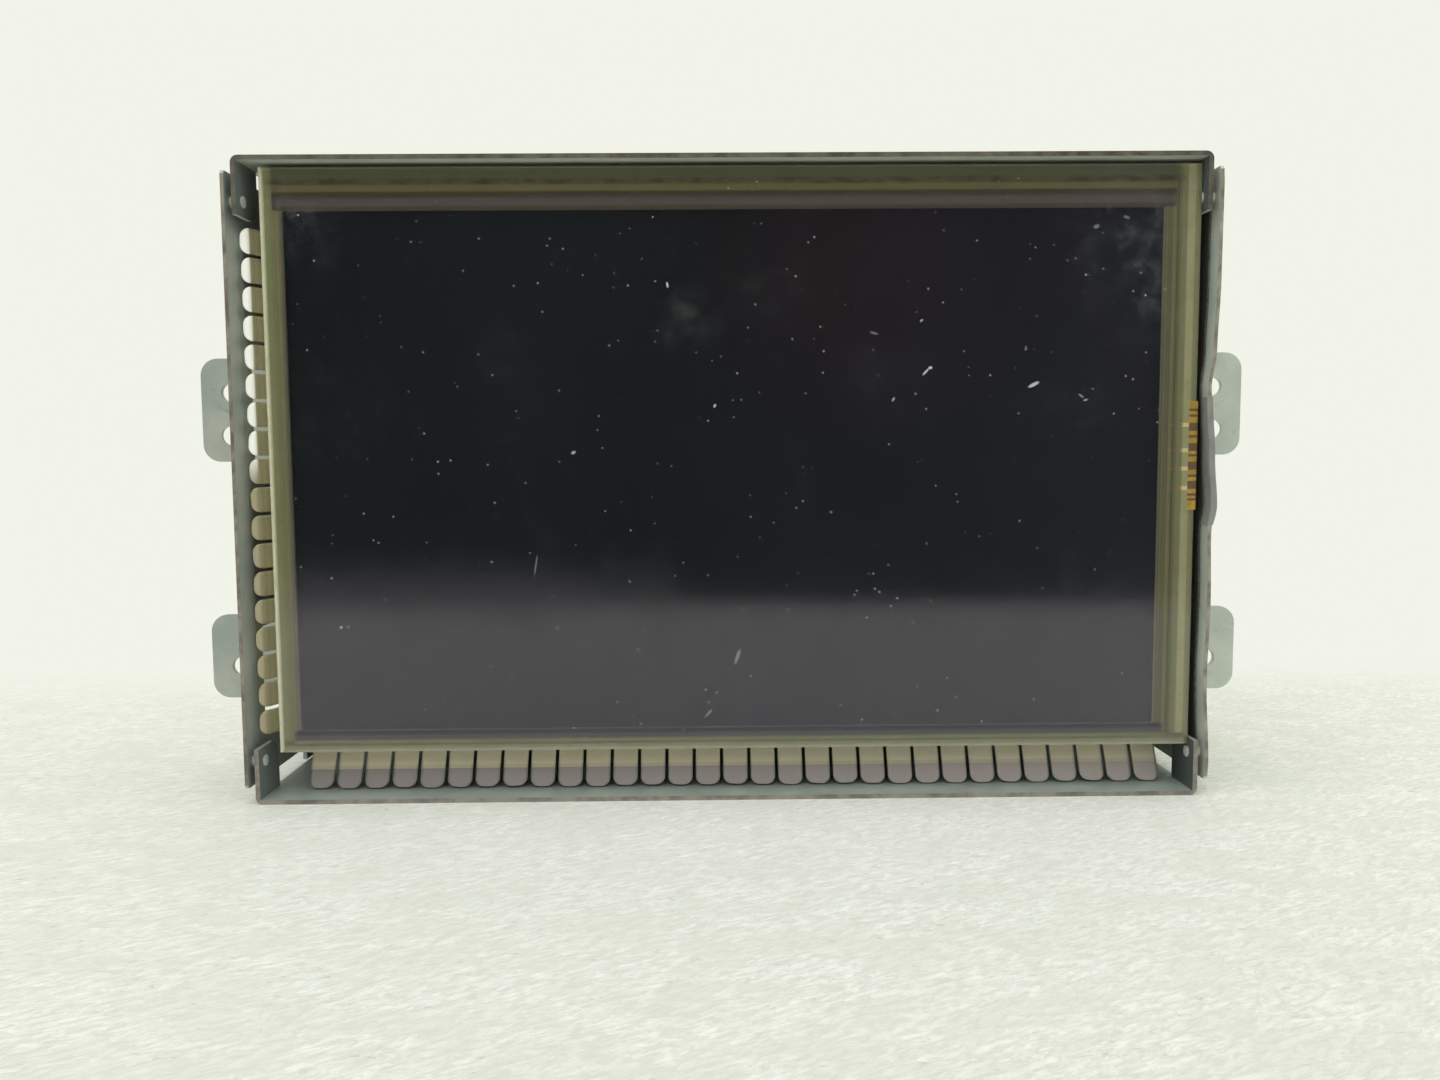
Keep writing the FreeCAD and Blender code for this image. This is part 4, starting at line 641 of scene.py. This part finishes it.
finishes = {
    "zinc_steel": sheet_steel("zinc_steel", ZINC_TONES, (tone(150, 144, 134), tone(112, 106, 100)),
                              1.0, TAB_SHADE),
    "bracket_steel": sheet_steel("bracket_steel", (tone(204, 209, 199), tone(182, 190, 184)),
                                 (tone(158, 155, 140), tone(112, 106, 96)), 0.4),
    "tinned_steel": tinned_steel(),
    "screw_steel": screw_steel(),
    "liner_fibre": fibre_grey(),
    "guard_cloth": guard_cloth(),
    "touch_film": touch_film(),
    "touch_glass": touch_glass(),
    "gasket_foam": gasket_foam(),
    "flex_amber": flex_amber(),
    "lcd_black": lcd_black(),
    "clear_plastic": mottled("clear_plastic", tone(226, 232, 232), tone(236, 240, 240), 5.0, 0.2),
    "white_film": mottled("white_film", tone(232, 232, 226), tone(240, 240, 236), 5.0, 0.5),
    "mould_black": mottled("mould_black", tone(26, 26, 27), tone(34, 34, 35), 2.0, 0.55),
    "board_green": board_green(),
    "chip_black": mottled("chip_black", tone(28, 28, 30), tone(40, 40, 42), 0.6, 0.6),
    "led_yellow": mottled("led_yellow", tone(226, 208, 96), tone(240, 226, 140), 0.8, 0.35),
    "capacitor_can": mottled("capacitor_can", tone(176, 178, 180), tone(206, 208, 210), 1.5, 0.3, 0.9),
    "ceramic_tan": mottled("ceramic_tan", tone(150, 118, 84), tone(176, 144, 106), 0.4, 0.5),
    "coil_grey": mottled("coil_grey", tone(70, 70, 74), tone(92, 92, 96), 0.8, 0.6),
    "socket_white": mottled("socket_white", tone(226, 222, 204), tone(236, 233, 218), 3.0, 0.45),
    "socket_grey": mottled("socket_grey", tone(120, 122, 124), tone(136, 138, 140), 3.0, 0.5),
    "pin_gold": mottled("pin_gold", tone(206, 172, 96), tone(226, 196, 124), 0.4, 0.25, 1.0),
    "latch_brown": mottled("latch_brown", tone(66, 46, 36), tone(84, 60, 46), 0.8, 0.5),
}


def dress(piece, finish):
    """Give a piece one finish all over."""
    piece.data.materials.clear()
    piece.data.materials.append(finish)
    return piece


# Every CAD node takes its slot's finish, and a few then take one of their own.
for part in frame["record"]["subparts"]:
    if part["material_slot"] in finishes and part["node"] in frame["nodes"]:
        dress(frame["nodes"][part["node"]], finishes[part["material_slot"]])
dress(frame["nodes"]["lcd_bezel"], display_bezel())
dress(frame["nodes"]["corner_rivets"], rivet_steel())
dress(frame["nodes"]["top_plate"],
      sheet_steel("rusty_plate", ZINC_TONES, (tone(98, 95, 84), tone(70, 62, 54)), 1.6, TAB_SHADE))
# The left bracket takes a darker copy of the bracket steel: painted shade.
dress(frame["nodes"]["left_side_bracket"],
      sheet_steel("left_bracket_shaded_steel", (tone(180, 185, 177), tone(156, 164, 160)),
                  (tone(142, 136, 124), tone(100, 90, 82)), 0.6))


# ---------------------------------------------------------------------------------------------
# Mesh pieces
# ---------------------------------------------------------------------------------------------

SHARP_ANGLE = math.radians(35)


def place_piece(name, mesh, finish):
    """A piece of the unit's fixed body from a mesh, smooth except at its sharp edges."""
    mesh.shade_smooth()
    mesh.set_sharp_from_angle(angle=SHARP_ANGLE)
    piece = bpy.data.objects.new(name, mesh)
    bpy.context.scene.collection.objects.link(piece)
    dress(piece, finish)
    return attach(piece, "root")


def new_piece(name, points, faces, finish):
    """A piece of the unit's fixed body from points and faces."""
    mesh = bpy.data.meshes.new(name)
    mesh.from_pydata([tuple(point) for point in points], [], faces)
    mesh.validate()
    return place_piece(name, mesh, finish)


def grid_faces(rows, columns, start=0):
    """Four-cornered faces of a grid of points listed row by row."""
    return [(start + row * columns + column, start + row * columns + column + 1,
             start + (row + 1) * columns + column + 1, start + (row + 1) * columns + column)
            for row in range(rows - 1) for column in range(columns - 1)]


def curve_through(root, knee, tip, steps):
    """Centre line of a finger as (depth, out) points, bent smoothly over its knee."""
    near = knee.lerp(root, BEND_BEFORE)
    far = knee.lerp(tip, BEND_AFTER)
    line = [root.lerp(near, step / steps) for step in range(steps)]
    for step in range(steps + 1):
        share = step / steps
        line.append(near.lerp(knee, share).lerp(knee.lerp(far, share), share))
    line += [far.lerp(tip, step / TIP_STEPS) for step in range(1, TIP_STEPS + 1)]
    return line


# The shares of a finger's two legs that its bend takes up, before the knee and after it.
BEND_BEFORE = 0.22
BEND_AFTER = 0.6
TIP_STEPS = 4
FINGER_PITCH = 5.0 * MM
FINGER_GAP = 0.6 * MM
FINGER_TIP = 1.5 * MM
FINGER_GAUGE = 0.15 * MM
FINGER_COLUMNS = 9
CURVE_STEPS = 6
STRIP_LIP = 3.0 * MM


def lengths_along(line):
    """The distance travelled at each point of a line."""
    lengths = [0.0]
    for first, second in zip(line, line[1:]):
        lengths.append(lengths[-1] + (second - first).length)
    return lengths


def half_width(left):
    """Half of a finger's width where a length of it is left before its rounded tip's end."""
    corner = FINGER_TIP - min(left + 0.02 * MM, FINGER_TIP)
    straight = FINGER_PITCH / 2 - FINGER_GAP / 2 - FINGER_TIP
    return straight + math.sqrt(max(FINGER_TIP ** 2 - corner ** 2, 0.0))


def finger_points(line, middle, place):
    """Rows of points over one finger, a little sprung and twisted by use and dished across."""
    lift = random.uniform(0.0, 0.035)
    twist = random.uniform(-0.06, 0.06) * MM
    dish = 0.05 * MM
    lengths = lengths_along(line)
    points = []
    for spot, travelled in zip(line, lengths):
        half = half_width(lengths[-1] - travelled)
        share = travelled / lengths[-1]
        for column in range(FINGER_COLUMNS):
            side = 2 * column / (FINGER_COLUMNS - 1) - 1
            out = spot.y - (spot.y - line[0].y) * lift + twist * side * share
            out -= dish * share * side * side
            points.append(place(middle + side * half, spot.x, out))
    return points


def finger_strip(name, node, root, knee, tip, count, start, place):
    """A strip of spring fingers; place turns (across, depth, out) into a point of the frame."""
    fold = [Vector((root.x - STRIP_LIP, 0.08 * MM)), Vector((root.x, 0.08 * MM)),
            Vector((root.x + 0.16 * MM, 0.13 * MM)), Vector((root.x, 0.25 * MM)),
            Vector((root.x - 0.5 * MM, 0.45 * MM))]
    points = []
    for depth, out in fold:
        points += [place(start + column * FINGER_PITCH, depth, out) for column in range(count + 1)]
    faces = grid_faces(len(fold), count + 1)
    line = curve_through(fold[-1], knee, tip, CURVE_STEPS)
    for index in range(count):
        faces += grid_faces(len(line), FINGER_COLUMNS, len(points))
        points += finger_points(line, start + (index + 0.5) * FINGER_PITCH, place)
    piece = new_piece(name, points, faces, spring_finishes[node])
    thick = piece.modifiers.new("gauge", "SOLIDIFY")
    thick.thickness = FINGER_GAUGE
    thick.offset = 0.0
    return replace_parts(piece, node)


def depth_place(depth):
    """The place along Y of a depth behind the front edge."""
    return front_edge + depth


left_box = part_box("left_spring_fingers")
bottom_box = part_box("bottom_spring_fingers")
# The outsides of the display holder's left wall and floor, which the strips nearly touch.
STRIP_CLEARANCE = 0.02 * MM
holder_left = left_box[1].x + STRIP_CLEARANCE
holder_floor = bottom_box[1].z + STRIP_CLEARANCE

# The strips' tip tones are painted reflections: near white on the upper left tips, pinkish grey on the
# bottom ones.
spring_finishes = {
    "left_spring_fingers": spring_steel(
        "left_spring_steel", across="z", lengthwise="x", knee=left_box[0].x + 1.55 * MM,
        reflected_tip_tones=(tone(206, 194, 164), tone(255, 255, 250)),
        leaf_tones=(tone(238, 228, 186), tone(238, 229, 188)),
        change=(56 * MM, 62 * MM), sheen=0.3),
    "bottom_spring_fingers": spring_steel(
        "bottom_spring_steel", across="x", lengthwise="z", knee=bottom_box[0].z + 3.4 * MM,
        reflected_tip_tones=(tone(130, 122, 122), tone(156, 148, 146)),
        leaf_tones=(tone(208, 199, 174), tone(200, 192, 171)),
        change=(bottom_box[0].x, bottom_box[1].x), sheen=0.0),
}

finger_strip("left_finger_strip", "left_spring_fingers",
             root=Vector((12.4, 0.0)) * MM, knee=Vector((5.9, 2.95)) * MM,
             tip=Vector((5.2, 4.4)) * MM, count=18, start=left_box[0].z,
             place=lambda across, depth, out: (holder_left - out, depth_place(depth), across))
finger_strip("bottom_finger_strip", "bottom_spring_fingers",
             root=Vector((9.6, 0.0)) * MM, knee=Vector((6.2, 6.45)) * MM,
             tip=Vector((5.75, 7.4)) * MM, count=31, start=bottom_box[0].x,
             place=lambda across, depth, out: (across, depth_place(depth), holder_floor - out))


# How far the right bracket's front edge is knocked outward, as (height, distance) in mm.
EDGE_WAVE = ((4.75, 0.1), (20.75, -0.6), (34.45, -0.3), (47.05, -0.55), (51.0, 0.2), (60.0, -0.4),
             (69.5, -1.0), (71.5, -1.2), (78.0, -0.4), (90.0, 0.0), (107.5, 0.08))
# How far back the bend reaches, and the cuts that let a copy bend: their spacing in mm going up
# and going back, and how many go back.
WAVE_DEPTH = 11.0 * MM
CUT_RISE = 1.5
CUT_INWARD = 2
CUTS_INWARD = 5


def knocked(height):
    """The edge's sideways shift at a height, eased between the given heights."""
    for (low, start), (high, end) in zip(EDGE_WAVE, EDGE_WAVE[1:]):
        if low * MM <= height <= high * MM:
            share = (height / MM - low) / (high - low)
            share = share * share * (3 - 2 * share)
            return (start + (end - start) * share) * MM
    return 0.0


def knocked_copy(name, node, slot):
    """A copy of a CAD piece, bent sideways near the front as the right bracket is."""
    source = frame["nodes"][node]
    work = bmesh.new()
    work.from_mesh(source.data)
    work.transform(source.matrix_world)
    low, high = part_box(node)
    first, last = (math.ceil(end.z / MM / CUT_RISE) for end in (low, high))
    cuts = [(Vector((0, 0, step * CUT_RISE * MM)), Vector((0, 0, 1))) for step in range(first, last)]
    cuts += [(Vector((0, front_edge + step * CUT_INWARD * MM, 0)), Vector((0, 1, 0)))
             for step in range(1, CUTS_INWARD + 1)]
    for place, normal in cuts:
        everything = work.verts[:] + work.edges[:] + work.faces[:]
        bmesh.ops.bisect_plane(work, geom=everything, plane_co=place, plane_no=normal)
    for corner in work.verts:
        inward = (corner.co.y - front_edge) / WAVE_DEPTH
        if inward < 1:
            corner.co.x += knocked(corner.co.z) * (1 - inward * inward * (3 - 2 * inward))
    mesh = bpy.data.meshes.new(name)
    work.to_mesh(mesh)
    work.free()
    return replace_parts(place_piece(name, mesh, finishes[slot]), node)


knocked_copy("right_bracket_knocked", "right_side_bracket", "bracket_steel")
knocked_copy("right_liner_knocked", "right_bracket_liner", "liner_fibre")
knocked_copy("edge_tape_knocked", "edge_guard_tape", "guard_cloth")


# ---------------------------------------------------------------------------------------------
# Stage, light and camera
# ---------------------------------------------------------------------------------------------

def stage_plane(name, corners, finish):
    """A four-cornered plane of the stage, which is no part of the unit."""
    mesh = bpy.data.meshes.new(name)
    mesh.from_pydata(corners, [], [(0, 1, 2, 3)])
    plane = bpy.data.objects.new(name, mesh)
    bpy.context.scene.collection.objects.link(plane)
    dress(plane, finish)
    return plane


BACKDROP = (0.949, 0.968, 0.872)
BACKDROP_STRENGTH = 0.93
# Where the table that the screen mirrors ends and the room in front of it starts.
TABLE_EDGE = -290 * MM


def pale_floor():
    """Pale brushed table top that turns into the even backdrop a little behind the unit."""
    made = Finish("pale_floor")
    streak = made.noise(0.8, stretch=(3.5, 1, 1), detail=7.0, roughness=0.8, warp=0.7,
                        turn=math.radians(26))
    cross = made.noise(1.6, stretch=(3, 1, 1), shift=6.0, detail=6.0, roughness=0.78, warp=1.0,
                       turn=math.radians(60))
    cloud = made.noise(9.0, stretch=(1.8, 1, 1), shift=3.0, detail=8.0, roughness=0.7)
    pits = made.noise(1.3, stretch=(2.0, 1, 1), shift=8.0, detail=5.0, roughness=0.75).rise(0.6, 0.72)
    colour = made.blend(streak.rise(0.38, 0.64), tone(222, 223, 217), tone(250, 251, 248))
    colour = made.blend(cross.rise(0.5, 0.68) * 0.5, colour, tone(214, 215, 209))
    colour = made.blend(cloud.rise(0.42, 0.6) * 0.5, colour, tone(224, 226, 218))
    colour = made.blend(pits * 0.5, colour, tone(174, 175, 168))
    table = made.plain_shader("BsdfDiffuse", Color=colour, Normal=made.bump(streak, 0.12))
    wall = made.plain_shader("Emission", Color=BACKDROP, Strength=BACKDROP_STRENGTH)
    return made.close(made.mix(made.y.rise(50 * MM, 110 * MM), table, wall))


def dark_room():
    """The room in front of the unit, which shows only as a reflection in its glossy film."""
    made = Finish("dark_room")
    glow = made.noise(900.0, shift=5.0, detail=2.0)
    colour = made.blend(glow.rise(0.3, 0.7), (0.058, 0.076, 0.068), (0.096, 0.118, 0.11))
    colour = made.blend(made.spot(430, 560, 620) * 0.6, colour, (0.2, 0.12, 0.12))
    colour = made.blend(made.x.rise(-0.2, 1.3) * 0.5, colour, (0.2, 0.2, 0.24))
    # The far end of the table glows softly below the dark part, higher up on the left.
    height = made.x.rise(-0.5, 0.5) * 0.2 + made.z
    colour = made.blend(height.rise(-0.46, -0.22, 1.0, 0.0), colour, (0.8, 0.8, 0.78))
    return made.close(made.plain_shader("Emission", Color=colour, Strength=1.0))


def table_shade():
    """A soft shade over the right of the table's front, which only the screen mirrors."""
    made = Finish("table_shade")
    share = made.y.rise(TABLE_EDGE, TABLE_EDGE + 65 * MM, 1.0, 0.0)
    share = share * made.x.rise(-60 * MM, 60 * MM, 0.5, 0.85)
    clear = made.plain_shader("BsdfTransparent")
    dark = made.plain_shader("BsdfDiffuse", Color=tone(60, 58, 66))
    return made.close(made.mix(share, clear, dark))


def mirrored_only(plane):
    """Hide a stage plane from everything but reflections."""
    plane.visible_camera = False
    plane.visible_diffuse = False
    plane.visible_shadow = False
    plane.visible_transmission = False


def build_stage():
    """A table, whose front part the screen doesn't mirror, and what the screen mirrors instead."""
    reach = 4.0
    floor = pale_floor()
    stage_plane("floor", [(-reach, TABLE_EDGE, 0), (reach, TABLE_EDGE, 0), (reach, reach, 0),
                          (-reach, reach, 0)], floor)
    front = stage_plane("floor_front", [(-reach, -reach, 0), (reach, -reach, 0), (reach, TABLE_EDGE, 0),
                                        (-reach, TABLE_EDGE, 0)], floor)
    front.visible_glossy = False
    side = 1.55
    far = -3.0
    low = -0.7
    high = 1.1
    mirrored_only(stage_plane("room_card", [(-side, far, low), (side, far, low), (side, far, high),
                                            (-side, far, high)], dark_room()))
    wide = 0.8
    back = -0.2
    lift = 0.5 * MM
    mirrored_only(stage_plane("table_shade", [(-wide, TABLE_EDGE, lift), (wide, TABLE_EDGE, lift),
                                              (wide, back, lift), (-wide, back, lift)], table_shade()))


def soft_light(name, place, target, size, power):
    """A square lamp of a size in metres and a power in watts, aimed at a target."""
    data = bpy.data.lights.new(name, "AREA")
    data.shape = "SQUARE"
    data.size = size
    data.energy = power
    lamp = bpy.data.objects.new(name, data)
    bpy.context.scene.collection.objects.link(lamp)
    lamp.location = place
    lamp.rotation_mode = "QUATERNION"
    lamp.rotation_quaternion = (Vector(target) - Vector(place)).to_track_quat("-Z", "Y")


def build_light():
    """An even pale surround, a key lamp from the upper left and a weak fill from the right."""
    world = bpy.data.worlds.new("studio")
    bpy.context.scene.world = world
    world.use_nodes = True
    backdrop = world.node_tree.nodes["Background"]
    backdrop.inputs["Color"].default_value = (*BACKDROP, 1.0)
    backdrop.inputs["Strength"].default_value = BACKDROP_STRENGTH
    middle = (0, 0, 0.055)
    soft_light("key", (-0.35, -0.45, 0.95), middle, 0.9, 3.0)
    soft_light("fill", (0.8, -0.1, 0.5), middle, 0.6, 0.8)


# The camera's place, its turn to the right, its look down and its roll in degrees, and its lens.
CAMERA_PLACE = (-0.003215, -0.21068, 0.06135)
CAMERA_ANGLES = (0.608, 4.57, -0.408)
CAMERA_LENS = 27.77
CAMERA_SENSOR = 36.0


def build_camera():
    """The camera stands a little above the middle of the screen and looks slightly down."""
    yaw, pitch, roll = (math.radians(angle) for angle in CAMERA_ANGLES)
    ahead = Vector((math.sin(yaw) * math.cos(pitch), math.cos(yaw) * math.cos(pitch), -math.sin(pitch)))
    level = Vector((math.cos(yaw), -math.sin(yaw), 0))
    upright = level.cross(ahead)
    right = level * math.cos(roll) + upright * math.sin(roll)
    top = upright * math.cos(roll) - level * math.sin(roll)
    data = bpy.data.cameras.new("camera")
    data.sensor_width = CAMERA_SENSOR
    data.lens = CAMERA_LENS
    data.clip_start = 0.01
    camera = bpy.data.objects.new("camera", data)
    bpy.context.scene.collection.objects.link(camera)
    turn = Matrix((right, top, -ahead)).transposed().to_4x4()
    camera.matrix_world = Matrix.Translation(CAMERA_PLACE) @ turn
    bpy.context.scene.camera = camera


build_stage()
build_light()
build_camera()
bpy.context.scene.view_settings.view_transform = "Standard"
